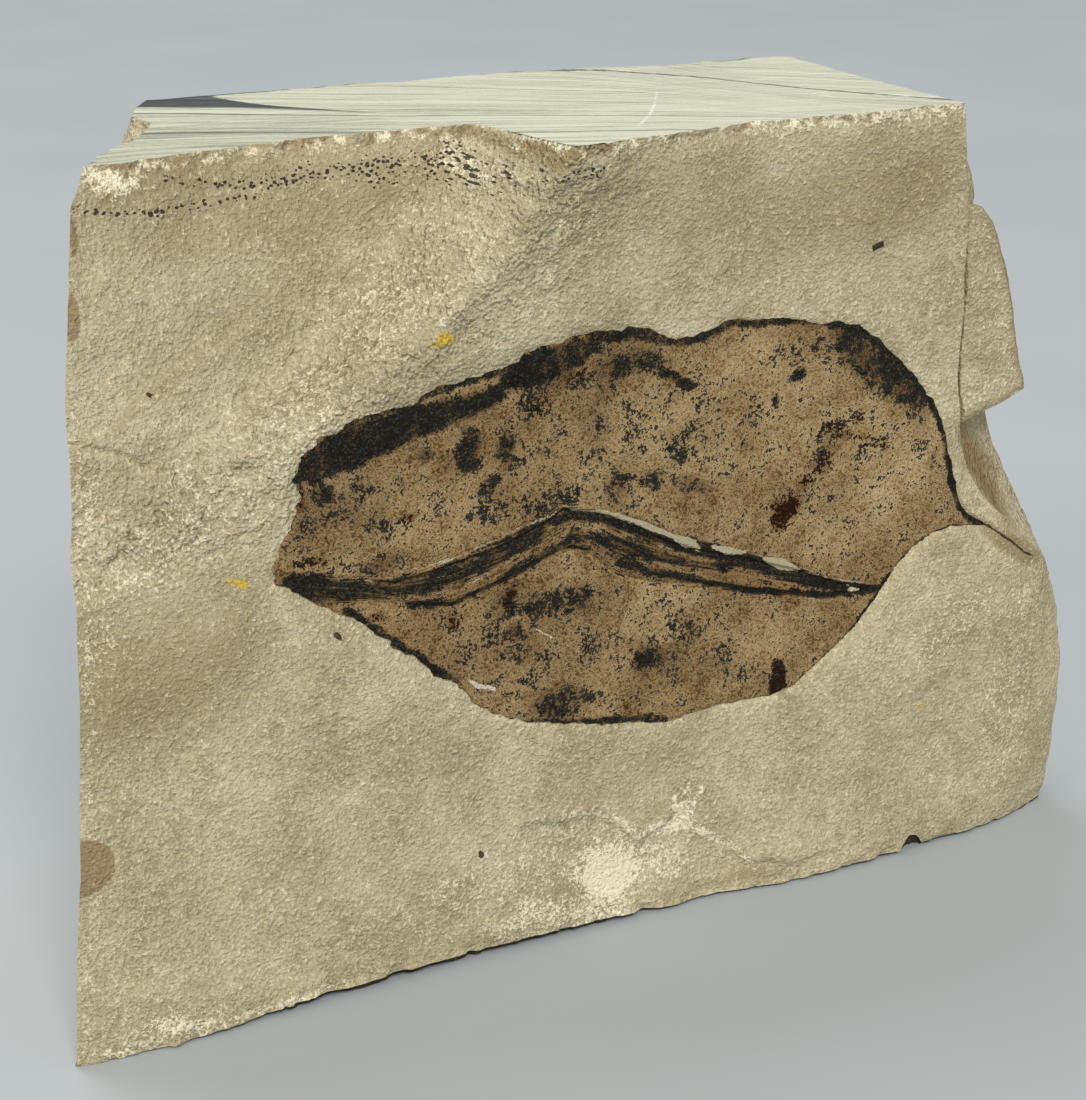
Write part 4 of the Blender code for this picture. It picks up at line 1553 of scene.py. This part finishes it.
        # Right of x 93 the marks reach far round the side, so the marks, with their painted shade, reach into
        # the recess under the flake.
        rows = np.where(x > 93.0, 44.0, 3.0)
        front = smooth(1.0 - grid[:, 1] * self.parts[1] / rows)
        rough = self.form.face.roughness(x, z)
        edge = smooth((z - 77.3) / 1.3)
        cream = 0.24 + 1.0 * EDGE.layered(x, 0.0, z, 1.2, 3) + 0.4 * smooth((x - 64.0) / 6.0)
        brown = edge * np.clip(0.3 + 1.2 * EDGE.layered(x, 50.0, z, 1.3, 3), 0.0, 0.8)
        flecks = rough * np.clip(0.1 + 0.6 * CRUMB.layered(x, 20.0, z, 2.6, 3), 0.0, 0.4)
        crumbs = np.maximum(edge * np.clip(cream, 0.0, 0.85), flecks * 0.7)
        # Painted shade: the underside just behind the lifted front edge and inside the notch is painted
        # black.
        painted_shade_under_edge = (grid[:, 2] < NEAR_ZERO) & (grid[:, 1] > NEAR_ZERO) & (grid[:, 1] < 0.2)
        behind = 1.0 - smooth(2.0 - grid[:, 1] * 12.0)
        Bench.mark(
            piece,
            pale=np.maximum(strongest(self.pale_marks, x, z), crumbs) * front,
            shade=strongest(self.shade_marks, x, z) * front,
            stain=np.maximum(strongest(self.stain_and_painted_shade_marks, x, z, 0.4), brown * 0.8) * front,
            yellow=strongest(self.yellow_marks, x, z, 0.7) * front,
            dots=strongest(self.dot_marks, x, z, 0.3) * front,
            black=np.maximum(strongest(self.black_marks, x, z, 0.2) * front, 1.2 * painted_shade_under_edge),
            rough=np.maximum(rough * front, 0.6 * behind),
        )
        near = reading(self.lamina_near, x)
        rear = smooth(1.0 - (self.form.back(x, z) - y) / 1.2)
        slivers = smooth((x - 58.0) / 5.0) * smooth((70.0 - x) / 4.0)
        slivers = slivers + smooth((x - 82.0) / 3.0) * smooth((90.0 - x) / 3.0)
        dashes = smooth((x - 79.0) / 3.0) * smooth((92.0 - x) / 2.0)
        dashes = dashes * smooth(1.0 - np.abs(y - 4.5 + (x - 85.0) * 0.7) / 2.6)
        Bench.mark(
            piece,
            wedge_low=y - reading(self.wedge_low, x),
            wedge_top=reading(self.wedge_top, x) - y,
            bed=(y - near) / (reading(self.lamina_far, x) - near),
            back_line=y - reading(self.back_line, x),
            sliver=rear * slivers,
            left=smooth((46.0 - x) / 20.0) * smooth((26.0 - y) / 10.0),
            arc=x - reading(self.scratch_line, y),
            scratched=smooth((y - 0.5) / 1.5) * smooth((16.0 - y) / 2.0) * (x < 72.0),
            dashed=dashes,
        )


@dataclass
class EdgeFlake:
    """The thin flake that stands at the right edge behind the hairline crack."""

    face: SplitFace = field(default_factory=SplitFace)
    parts: tuple[int, int, int] = (18, 6, 34)
    fine_parts: int = 3
    outer: Line = (
        (103.9, 48.3), (102.3, 53.3), (100.9, 58.2), (99.4, 61.9), (98.4, 64.1), (97.1, 66.5), (95.4, 68.3),
        (94.0, 68.7),
    )
    lower: Line = ((92.0, 46.4), (96.1, 45.7), (98.5, 46.5), (100.9, 47.2), (103.9, 48.3))
    inner: Line = ((92.0, 46.4), (91.6, 57.0), (91.2, 68.0))
    sink: float = 0.3
    thickness: float = 3.1
    crack_depth: float = 1.3
    crease: float = 45.0

    def build(self) -> bpy.types.Object:
        """Make the flake.

        Returns:
            The finished piece.
        """
        piece = Bench.gridded_block("edge_flake", self.parts)
        Bench.refine(piece, lambda centre: (centre[:, 1] < 0.4) | (centre[:, 0] > 0.9), self.fine_parts)
        grid = Bench.corners(piece)
        upper = (self.inner[-1], self.outer[-1])
        flat = patch_between(self.lower, upper, self.inner, self.outer, grid[:, 0], grid[:, 2])
        x, z = flat[:, 0], flat[:, 1]
        rim = np.minimum.reduce((1.0 - grid[:, 0], grid[:, 2] * 1.6, (1.0 - grid[:, 2]) * 1.6))
        front = self.face.plain(x, z) + self.sink + 0.12 * ROCK.layered(x, 0.0, z, 2.6, 3)
        front = front + 0.5 * smooth(1.0 - rim / 0.08) ** 2 * (0.7 + 0.3 * EDGE.at(x, 0.0, z, 1.8))
        past_edge = x - reading(self.face.right_edge, z) + 0.12 * EDGE.at(x, 2.0, z, 2.0)
        front = front + self.crack_depth * smooth(1.0 - (past_edge - 0.22) / 0.2)
        y = front + self.thickness * grid[:, 1] * smooth((grid[:, 1] + 0.3) / 0.6)
        side = (grid[:, 0] - 0.5) * 2.0
        x = x + 0.04 * EDGE.layered(0.0, y, z, 2.2, 3) * np.clip(side, 0.0, 1.0)
        Bench.set_corners(piece, Bench.to_frame(np.column_stack((x, y, z))))
        none = np.zeros(len(grid))
        # Painted shade: the black and most of the shade beside the hairline crack stand in for its shadow;
        # the shade also darkens the flake toward its rim.
        Bench.mark(
            piece,
            pale=0.2 * smooth(1.0 - np.abs(rim - 0.16) / 0.12),
            shade=np.maximum(0.5 * smooth(1.0 - rim / 0.2), 0.9 * smooth(1.0 - (past_edge - 0.2) / 0.5)),
            stain=0.62 * smooth(1.0 - (1.0 - grid[:, 0]) / 0.12),
            yellow=none,
            dots=none,
            black=0.85 * smooth(1.0 - (past_edge - 0.1) / 0.25),
            rough=none,
        )
        Bench.dress(piece, self.crease, bpy.data.materials["split_mudstone"])
        return piece


def by_length(line: Line, share: np.ndarray) -> np.ndarray:
    """Place points at a share of the way along a line.

    Args:
        line: Corners of the line.
        share: Shares from 0 to 1.

    Returns:
        One row of two coordinates for each share.
    """
    points = np.array([corner[:2] for corner in line], dtype=float)
    run = np.concatenate(([0.0], np.cumsum(np.hypot(*np.diff(points, axis=0).T))))
    at = share * run[-1]
    return np.column_stack((np.interp(at, run, points[:, 0]), np.interp(at, run, points[:, 1])))


def patch_between(
    lower: Line, upper: Line, left: Line, right: Line, across: np.ndarray, up: np.ndarray
) -> np.ndarray:
    """Fill the space between four edge lines evenly.

    Args:
        lower: Lower edge, from left to right.
        upper: Upper edge, from left to right.
        left: Left edge, from the bottom up.
        right: Right edge, from the bottom up.
        across: Share of the way from left to right.
        up: Share of the way from bottom to top.

    Returns:
        One row of two coordinates for each point.
    """
    s = across[:, None]
    t = up[:, None]
    low, high = by_length(lower, across), by_length(upper, across)
    near, far = by_length(left, up), by_length(right, up)
    corners = [np.array(line[end][:2]) for line, end in ((lower, 0), (lower, -1), (upper, 0), (upper, -1))]
    ruled = (1.0 - t) * low + t * high + (1.0 - s) * near + s * far
    bent = (1.0 - s) * (1.0 - t) * corners[0] + s * (1.0 - t) * corners[1]
    return ruled - bent - (1.0 - s) * t * corners[2] - s * t * corners[3]


@dataclass
class LeafFilm:
    """The brown and black film of the leaf, with the folds of its middle rib."""

    face: SplitFace = field(default_factory=SplitFace)
    parts: tuple[int, int, int] = (100, 1, 48)
    fine_parts: int = 4
    proud: float = 0.08
    thickness: float = 0.34
    fray: float = 1.3
    crease: float = 60.0
    middle: tuple[float, float] = (60.0, 41.0)
    carbon_marks: Marks = (
        Streak((
            (23.2, 52.0, 0.5), (24.9, 52.8, 1.3), (27.0, 53.4, 1.5), (32.5, 54.8, 1.2), (38.1, 55.7, 0.8),
            (42.6, 56.5, 0.3)
        ), 0.82, 0.9),
        Streak((
            (27.3, 55.6, 0.1), (31.1, 56.6, 0.12), (35.9, 57.9, 0.12), (38.8, 58.4, 0.2),
            (42.7, 59.0, 0.3)
        ), 0.72, 0.5),
        Streak(((44.0, 58.2, 0.8), (47.2, 58.8, 1.2), (50.3, 59.4, 1.0), (51.8, 60.1, 0.5)), 0.82, 0.9),
        Streak((
            (51.8, 60.9, 0.2), (56.1, 60.6, 0.3), (58.8, 60.0, 0.3), (61.6, 59.2, 0.25),
            (65.7, 59.6, 0.15)
        ), 0.74, 0.7),
        Streak((
            (65.0, 59.4, 0.1), (67.3, 60.2, 0.2), (70.4, 59.6, 0.2), (73.3, 59.6, 0.15),
            (79.2, 58.5, 0.2)
        ), 0.82, 0.4),
        Streak((
            (79.2, 58.5, 0.2), (82.2, 57.6, 0.35), (85.4, 55.3, 0.4), (88.2, 52.7, 0.35),
            (90.7, 50.0, 0.25), (92.8, 47.0, 0.12)
        ), 0.9, 0.5),
        Streak(((80.4, 57.4, 0.7), (84.0, 54.9, 1.2), (87.0, 52.2, 1.1), (89.6, 49.4, 0.5)), 0.68, 2.0),
        # The next two streaks, along the right and lower right margins, are carbon and also painted shade
        # along the step where the stone stands above the leaf's edge.
        Streak((
            (92.4, 47.2, 0.08), (93.7, 44.4, 0.12), (94.4, 42.3, 0.3), (95.1, 39.8, 0.35),
            (95.7, 37.6, 0.2), (97.0, 36.0, 0.2), (99.0, 34.8, 0.15)
        ), 0.82, 0.4),
        Streak((
            (99.0, 34.5, 0.1), (94.9, 34.9, 0.14), (92.3, 34.5, 0.12), (90.0, 33.2, 0.15),
            (88.3, 31.5, 0.22), (86.5, 29.6, 0.35), (84.8, 27.6, 0.25), (82.3, 25.2, 0.12),
            (79.2, 23.1, 0.06)
        ), 0.86, 0.35),
        Streak(((59.8, 56.2, 0.1), (61.5, 55.5, 0.3), (63.1, 54.4, 0.15)), 0.8, 0.5),
        Streak((
            (22.4, 42.0, 0.5), (24.5, 41.2, 0.8), (27.5, 40.4, 0.5), (30.0, 39.9, 0.25),
            (35.0, 39.5, 0.2)
        ), 0.78, 0.8),
        Streak(((35.0, 39.5, 0.2), (39.0, 40.2, 0.6), (43.1, 41.5, 0.6), (47.3, 42.8, 0.3)), 0.78, 0.6),
        Streak(((30.0, 40.4, 0.06), (36.0, 40.6, 0.1), (42.0, 41.9, 0.1), (47.9, 43.6, 0.15)), 0.75, 0.4),
        Streak((
            (48.0, 43.6, 0.15), (51.0, 43.7, 0.2), (53.7, 42.9, 0.25), (58.0, 41.0, 0.35),
            (63.7, 38.4, 0.5), (69.4, 36.1, 0.45), (75.4, 33.4, 0.4), (81.5, 31.0, 0.3),
            (86.4, 29.9, 0.1)
        ), 0.92, 0.45),
        Streak((
            (50.5, 41.9, 0.1), (54.0, 40.7, 0.3), (58.1, 38.9, 0.35), (63.0, 36.9, 0.2),
            (68.0, 35.3, 0.05)
        ), 0.74, 0.5),
        Streak((
            (55.6, 38.2, 0.15), (58.1, 37.1, 0.2), (64.9, 34.6, 0.15), (71.9, 32.3, 0.12),
            (80.3, 30.4, 0.18), (85.9, 29.8, 0.06)
        ), 0.86, 0.35),
        Streak((
            (34.0, 37.9, 0.06), (38.4, 37.4, 0.12), (42.2, 38.3, 0.14), (45.8, 39.8, 0.2),
            (49.0, 41.0, 0.15), (52.4, 40.4, 0.1)
        ), 0.7, 0.45),
        Streak((
            (27.6, 38.6, 0.12), (30.1, 36.4, 0.15), (32.9, 34.0, 0.2), (34.8, 32.3, 0.3),
            (35.8, 31.2, 0.3), (38.6, 29.4, 0.12)
        ), 0.72, 0.5),
        Streak((
            (46.2, 23.8, 0.04), (50.6, 22.8, 0.1), (58.4, 21.4, 0.08), (61.1, 21.0, 0.15)
        ), 0.66, 0.45),
        Patch(56.6, 57.6, 4.4, 2.4, 0.5), Patch(48.0, 57.0, 3.0, 1.8, 0.4),
        Patch(53.6, 56.6, 1.4, 3.4, 0.4), Patch(40.0, 51.7, 1.4, 2.0, 0.72),
        Patch(43.6, 51.0, 1.4, 1.9, 0.66), Patch(41.8, 47.6, 1.3, 1.4, 0.66),
        Patch(35.6, 51.6, 1.1, 1.0, 0.56), Patch(25.9, 49.9, 1.6, 1.4, 0.56),
        Patch(33.2, 49.2, 0.9, 0.8, 0.46), Patch(55.6, 46.1, 1.7, 2.6, 0.56),
        Patch(62.7, 49.6, 4.0, 2.6, 0.44), Patch(63.8, 44.8, 2.4, 1.2, 0.5),
        Patch(59.4, 45.6, 1.4, 1.8, 0.46), Patch(53.4, 51.0, 1.6, 3.0, 0.42),
        Patch(49.0, 46.4, 2.4, 1.6, 0.36), Patch(43.7, 35.8, 1.6, 2.2, 0.44),
        Patch(44.7, 32.8, 1.7, 1.4, 0.66), Patch(59.4, 27.8, 2.2, 2.4, 0.66, 30.0),
        Patch(50.0, 25.0, 4.0, 1.8, 0.5), Patch(47.6, 35.4, 3.8, 2.4, 0.4),
        Patch(51.4, 35.3, 2.0, 2.4, 0.44), Patch(31.6, 42.6, 2.4, 1.2, 0.44),
        Patch(75.1, 53.7, 0.8, 0.7, 0.76), Patch(72.9, 51.5, 0.6, 0.8, 0.76),
        Patch(92.2, 42.0, 0.4, 1.8, 0.5), Patch(56.6, 39.4, 4.5, 1.4, 0.46, -26.0),
        Patch(60.5, 28.8, 4.5, 4.7, 0.3), Patch(46.0, 46.0, 8.0, 5.0, 0.3),
        Patch(52.0, 50.0, 15.0, 7.0, 0.2), Patch(46.0, 32.0, 10.0, 6.0, 0.26),
        Patch(64.0, 50.0, 7.0, 6.0, 0.2), Patch(28.0, 48.0, 6.0, 4.0, 0.34),
        Patch(90.4, 46.0, 1.6, 2.6, 0.34), Patch(77.0, 56.6, 4.0, 1.6, 0.3),
        Patch(67.5, 26.0, 3.0, 2.6, 0.3), Patch(53.0, 30.0, 3.0, 3.0, 0.26),
        Patch(80.0, 44.0, 4.0, 4.0, 0.2), Patch(72.0, 24.0, 5.0, 2.0, 0.24),
    )
    rust_marks: Marks = (
        Patch(74.7, 40.1, 1.6, 2.0, 0.86), Patch(78.6, 44.6, 1.8, 1.4, 0.5, 40.0),
        Patch(81.2, 46.6, 1.4, 0.9, 0.55), Patch(77.0, 42.4, 1.3, 1.0, 0.52),
        Patch(79.8, 47.6, 1.4, 0.7, 0.5), Patch(82.8, 48.4, 0.8, 0.7, 0.5),
        Patch(49.6, 57.6, 2.4, 1.2, 0.45), Patch(44.3, 57.4, 0.9, 0.6, 0.8),
        Patch(44.2, 36.5, 0.9, 1.5, 0.9), Streak(((74.2, 24.0, 0.5), (74.2, 21.6, 0.7)), 0.95, 0.6),
        Patch(34.3, 46.5, 1.1, 0.4, 0.7), Patch(23.4, 49.6, 0.7, 1.4, 0.6),
        Patch(46.6, 55.0, 1.6, 1.2, 0.36), Patch(69.5, 47.6, 0.5, 0.4, 0.5),
        Streak(((82.5, 46.5, 0.02), (86.1, 45.7, 0.04)), 0.7, 0.25),
        Streak(((83.0, 45.6, 0.02), (86.6, 44.9, 0.04)), 0.5, 0.25), Patch(38.5, 35.2, 0.7, 0.9, 0.5),
        Patch(24.5, 43.6, 1.6, 0.7, 0.45), Patch(30.5, 37.4, 1.4, 0.6, 0.5),
    )
    bare_marks: Marks = (
        Streak((
            (50.6, 44.3, 0.03), (53.7, 43.6, 0.1), (57.4, 42.0, 0.18), (59.3, 41.0, 0.22),
            (61.6, 39.8, 0.12), (64.3, 38.8, 0.06)
        ), 0.9, 0.2),
        Streak(((61.8, 39.5, 0.15), (63.4, 38.8, 0.48), (64.6, 38.1, 0.12)), 0.95, 0.15),
        Streak(((66.2, 37.9, 0.1), (68.0, 37.2, 0.34), (70.0, 36.7, 0.1)), 0.9, 0.15),
        Streak(((72.2, 35.6, 0.12), (74.2, 34.7, 0.52), (76.2, 33.8, 0.12)), 0.92, 0.2),
        Streak((
            (29.7, 41.0, 0.02), (35.0, 41.3, 0.05), (38.2, 41.6, 0.06), (43.2, 42.9, 0.04),
            (48.9, 44.2, 0.05)
        ), 0.62, 0.14),
        Streak(((77.0, 33.4, 0.02), (81.5, 31.7, 0.05), (85.6, 30.5, 0.02)), 0.6, 0.16),
        Streak(((36.5, 38.6, 0.02), (40.5, 39.2, 0.05), (43.8, 40.4, 0.03)), 0.6, 0.15),
        Streak(((68.0, 31.9, 0.0), (73.4, 31.1, 0.03), (80.0, 29.9, 0.03)), 0.5, 0.15),
    )
    tan_marks: Marks = (
        Patch(62.0, 50.0, 9.0, 6.0, 0.9), Patch(52.0, 48.0, 6.0, 5.0, 0.6),
        Patch(38.0, 46.0, 8.0, 3.0, 0.5), Patch(86.0, 43.0, 8.0, 7.0, 1.0),
        Patch(78.0, 37.5, 6.0, 2.5, 0.9, -22.0), Patch(70.0, 55.0, 5.0, 4.0, 0.7),
        Patch(76.0, 50.0, 6.0, 5.0, 0.7), Patch(62.0, 33.0, 3.0, 2.5, 0.8),
        Patch(47.0, 48.0, 3.0, 3.0, 0.5), Patch(33.0, 49.0, 4.0, 2.5, 0.5),
        Patch(72.0, 26.0, 8.0, 3.5, 0.5), Patch(51.0, 29.0, 5.0, 4.0, 0.3),
        Streak(((58.6, 35.4, 0.6), (57.6, 31.6, 1.2), (60.6, 30.6, 1.4), (62.6, 29.6, 0.4)), 1.0, 0.6),
        Patch(88.0, 44.0, 5.0, 8.0, 0.6), Patch(46.0, 28.5, 3.0, 2.0, 0.5),
    )
    orange_marks: Marks = (
        Streak((
            (63.0, 36.6, 0.2), (68.0, 34.8, 0.4), (72.0, 33.3, 0.45), (77.0, 32.0, 0.4),
            (83.7, 30.5, 0.15)
        ), 0.9, 0.5),
        Streak(((36.1, 38.1, 0.2), (40.0, 38.9, 0.3), (44.1, 40.2, 0.3), (49.5, 41.8, 0.3)), 0.35, 0.5),
        Patch(80.0, 40.0, 8.0, 5.0, 0.2), Patch(64.0, 27.0, 16.0, 5.0, 0.2),
        Patch(36.0, 34.5, 6.0, 3.0, 0.3, -35.0),
    )
    nick_marks: Marks = (
        Streak(((39.8, 29.3, 0.05), (40.8, 28.5, 0.14), (42.4, 27.9, 0.12)), 1.0, 0.2),
        Streak(((46.8, 33.1, 0.0), (48.6, 31.9, 0.02)), 0.75, 0.2),
    )

    def build(self) -> bpy.types.Object:
        """Make the film.

        Returns:
            The finished piece.
        """
        piece = Bench.gridded_block("leaf_film", self.parts)
        Bench.refine(piece, lambda centre: centre[:, 1] < 0.001, self.fine_parts)
        grid = Bench.corners(piece)
        leaf = self.face.leaf
        right = (leaf.lower[-1], leaf.upper[-1])
        flat = patch_between(leaf.lower, leaf.upper, leaf.left, right, grid[:, 0], grid[:, 2])
        flat = self._ragged(flat, grid)
        x, z = flat[:, 0], flat[:, 1]
        front = self.face.leaf_bed(x, z) - self.proud + self._folds(x, z)
        rim = smooth(-leaf.reach(x, z) / 0.25)
        front = front + 0.1 * (1.0 - rim)
        back = self.face.leaf_bed(x, z) - self.proud + self.thickness
        y = front * (1.0 - grid[:, 1]) + back * grid[:, 1]
        Bench.set_corners(piece, Bench.to_frame(np.column_stack((x, y, z))))
        carbon = [
            Streak(mark.line, mark.strength, mark.soft * self.fray) if isinstance(mark, Streak) else mark
            for mark in self.carbon_marks
        ]
        low = reading(leaf.rib_lower, x)
        rib = (z - low) / (reading(leaf.rib_upper, x) - low + 0.3)
        zone = smooth((x - 23.0) / 5.0) * smooth((90.0 - x) / 4.0)
        zone = zone * smooth((rib + 0.4) / 0.35) * smooth((1.3 - rib) / 0.25)
        Bench.mark(
            piece,
            carbon=strongest(carbon, x, z),
            rust=strongest(self.rust_marks, x, z),
            bare=strongest(self.bare_marks, x, z, 0.0),
            tan=strongest(self.tan_marks, x, z),
            orange=strongest(self.orange_marks, x, z),
            nick=strongest(self.nick_marks, x, z, 0.5),
            rib=rib,
            rib_zone=zone,
        )
        Bench.dress(piece, self.crease, LeafFinish().material())
        return piece

    def _ragged(self, flat: np.ndarray, grid: np.ndarray) -> np.ndarray:
        """Tear the edge of the film a little.

        Args:
            flat: The film's points as x and z, one row each.
            grid: The same points on the plain unit cube.

        Returns:
            The moved points.
        """
        away = flat - np.array(self.middle)
        away = away / np.maximum(np.linalg.norm(away, axis=1, keepdims=True), 1e-6)
        near_edge = np.minimum.reduce((grid[:, 2], 1.0 - grid[:, 2], grid[:, 0] * 2.0))
        share = smooth(1.0 - near_edge / 0.04) * smooth((0.985 - grid[:, 0]) / 0.05)
        torn = smooth((54.0 - flat[:, 0]) / 12.0)
        tears = (0.3 + 0.25 * torn) * EDGE.layered(flat[:, 0], 0.0, flat[:, 1], 1.4, 3) - 0.08
        return flat + away * (tears * share)[:, None]

    def _folds(self, x: np.ndarray, z: np.ndarray) -> np.ndarray:
        """Read the folds of the rib and the fine wrinkles of the film, above 0 where deeper.

        Args:
            x: Places across the block, in millimetres.
            z: Heights, in millimetres.

        Returns:
            What they add to the depth, in millimetres.
        """
        leaf = self.face.leaf
        upper = gap_to_line(x, z, leaf.rib_upper)
        lower = gap_to_line(x, z, leaf.rib_lower)
        rib_line_z = reading(leaf.rib_upper, x)
        low_line_z = reading(leaf.rib_lower, x)
        span = smooth((x - 27.0) / 8.0) * smooth((87.0 - x) / 7.0)
        inside = smooth((rib_line_z - z) / 0.5) * smooth((z - low_line_z) / 0.7)
        ridge = -0.32 * inside
        groove = 0.34 * smooth(1.0 - np.abs(upper - 0.35) / 0.5) * (z < rib_line_z)
        groove = groove + 0.14 * smooth(1.0 - lower / 0.45)
        lip = -0.3 * smooth(1.0 - upper / 0.55) * smooth((z - rib_line_z + 0.1) / 0.25)
        wrinkles = 0.05 * FILM.at(x, 0.0, z, 1.6) + 0.03 * FILM.at(x, 3.0, z, 0.7)
        wrinkles = wrinkles + 0.09 * FILM.at(x, 6.0, z, 5.0)
        veins = 0.05 * FILM.at(x * 0.5 + z * 0.87, 0.0, (z * 0.5 - x * 0.87) * 0.12, 2.6)
        return (ridge + groove + lip) * span + wrinkles + veins


@dataclass
class Studio:
    """The floor, the lights and the camera."""

    lens: float = 80.0
    camera_place: Point = (-53.99, -186.38, 118.03)
    tilt: float = 70.0
    turn: float = -28.6
    floor_size: float = 6.0
    aim: Point = (0.0, 0.0, 0.04)
    sky: Colour = (0.93, 0.97, 1.0, 1.0)
    sky_strength: float = 0.46

    def build_floor(self) -> bpy.types.Object:
        """Lay the floor.

        Returns:
            The floor.
        """
        Bench.clear_choice()
        bpy.ops.mesh.primitive_plane_add(size=self.floor_size, location=(0.0, 0.0, 0.0))
        floor = bpy.context.object
        floor.name = "floor"
        floor.data.materials.append(FloorFinish().material())
        return floor

    def light(self, name: str, place: Point, size: float, power: float, colour: Point) -> None:
        """Add one soft light that looks at the middle of the block.

        Args:
            name: Name of the light.
            place: Where it is, in metres.
            size: Width of its disk in metres.
            power: Power in watts.
            colour: Its light's colour.
        """
        lamp = bpy.data.lights.new(name, "AREA")
        lamp.shape = "DISK"
        lamp.size = size
        lamp.energy = power
        lamp.color = colour
        holder = bpy.data.objects.new(name, lamp)
        bpy.context.scene.collection.objects.link(holder)
        holder.location = place
        aim = np.array(self.aim) - np.array(place)
        tip = math.acos(-aim[2] / float(np.linalg.norm(aim)))
        holder.rotation_euler = (tip, 0.0, math.atan2(aim[1], aim[0]) - math.pi / 2.0)

    def build_lights(self) -> None:
        """Set the lights and the pale surroundings."""
        self.light("key", (-0.45, -1.50, 1.45), 0.75, 31.0, (1.0, 0.985, 0.96))
        self.light("over", (-0.25, 1.00, 1.90), 1.30, 18.0, (0.99, 0.99, 1.0))
        self.light("side", (-1.90, -0.55, 1.10), 0.60, 7.5, (1.0, 0.99, 0.97))
        world = bpy.data.worlds.new("surroundings")
        world.use_nodes = True
        sky = world.node_tree.nodes["Background"]
        sky.inputs["Color"].default_value = self.sky
        sky.inputs["Strength"].default_value = self.sky_strength
        bpy.context.scene.world = world
        bpy.context.scene.view_settings.view_transform = "Standard"
        bpy.context.scene.view_settings.look = "None"

    def build_camera(self) -> None:
        """Set the camera at the photograph's viewing angle."""
        camera = bpy.data.cameras.new("camera")
        camera.lens = self.lens
        camera.sensor_width = 36.0
        camera.clip_start = 0.001
        holder = bpy.data.objects.new("camera", camera)
        bpy.context.scene.collection.objects.link(holder)
        holder.location = tuple(Bench.to_frame(np.array(self.camera_place)))
        holder.rotation_euler = (math.radians(self.tilt), 0.0, math.radians(self.turn))
        bpy.context.scene.camera = holder


def main() -> None:
    """Build the studio and the pieces in order, and report each."""
    logging.basicConfig(level=logging.INFO, format="%(message)s")
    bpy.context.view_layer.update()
    studio = Studio()
    studio.build_camera()
    studio.build_floor()
    studio.build_lights()
    for builder, nodes, slot in (
        (StoneBlock(), ("stone",), "stone"),
        (EdgeFlake(), ("stone",), "stone"),
        (LeafFilm(), ("leaf",), "leaf"),
    ):
        piece = builder.build()
        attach(piece, BODY)
        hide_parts(*nodes)
        corners = Bench.corners(piece) / MM
        size = np.round(corners.max(axis=0) - corners.min(axis=0), 2)
        log.info("%s: %d faces, %s mm", piece.name, len(piece.data.polygons), size)


if __name__ == "__main__":
    main()
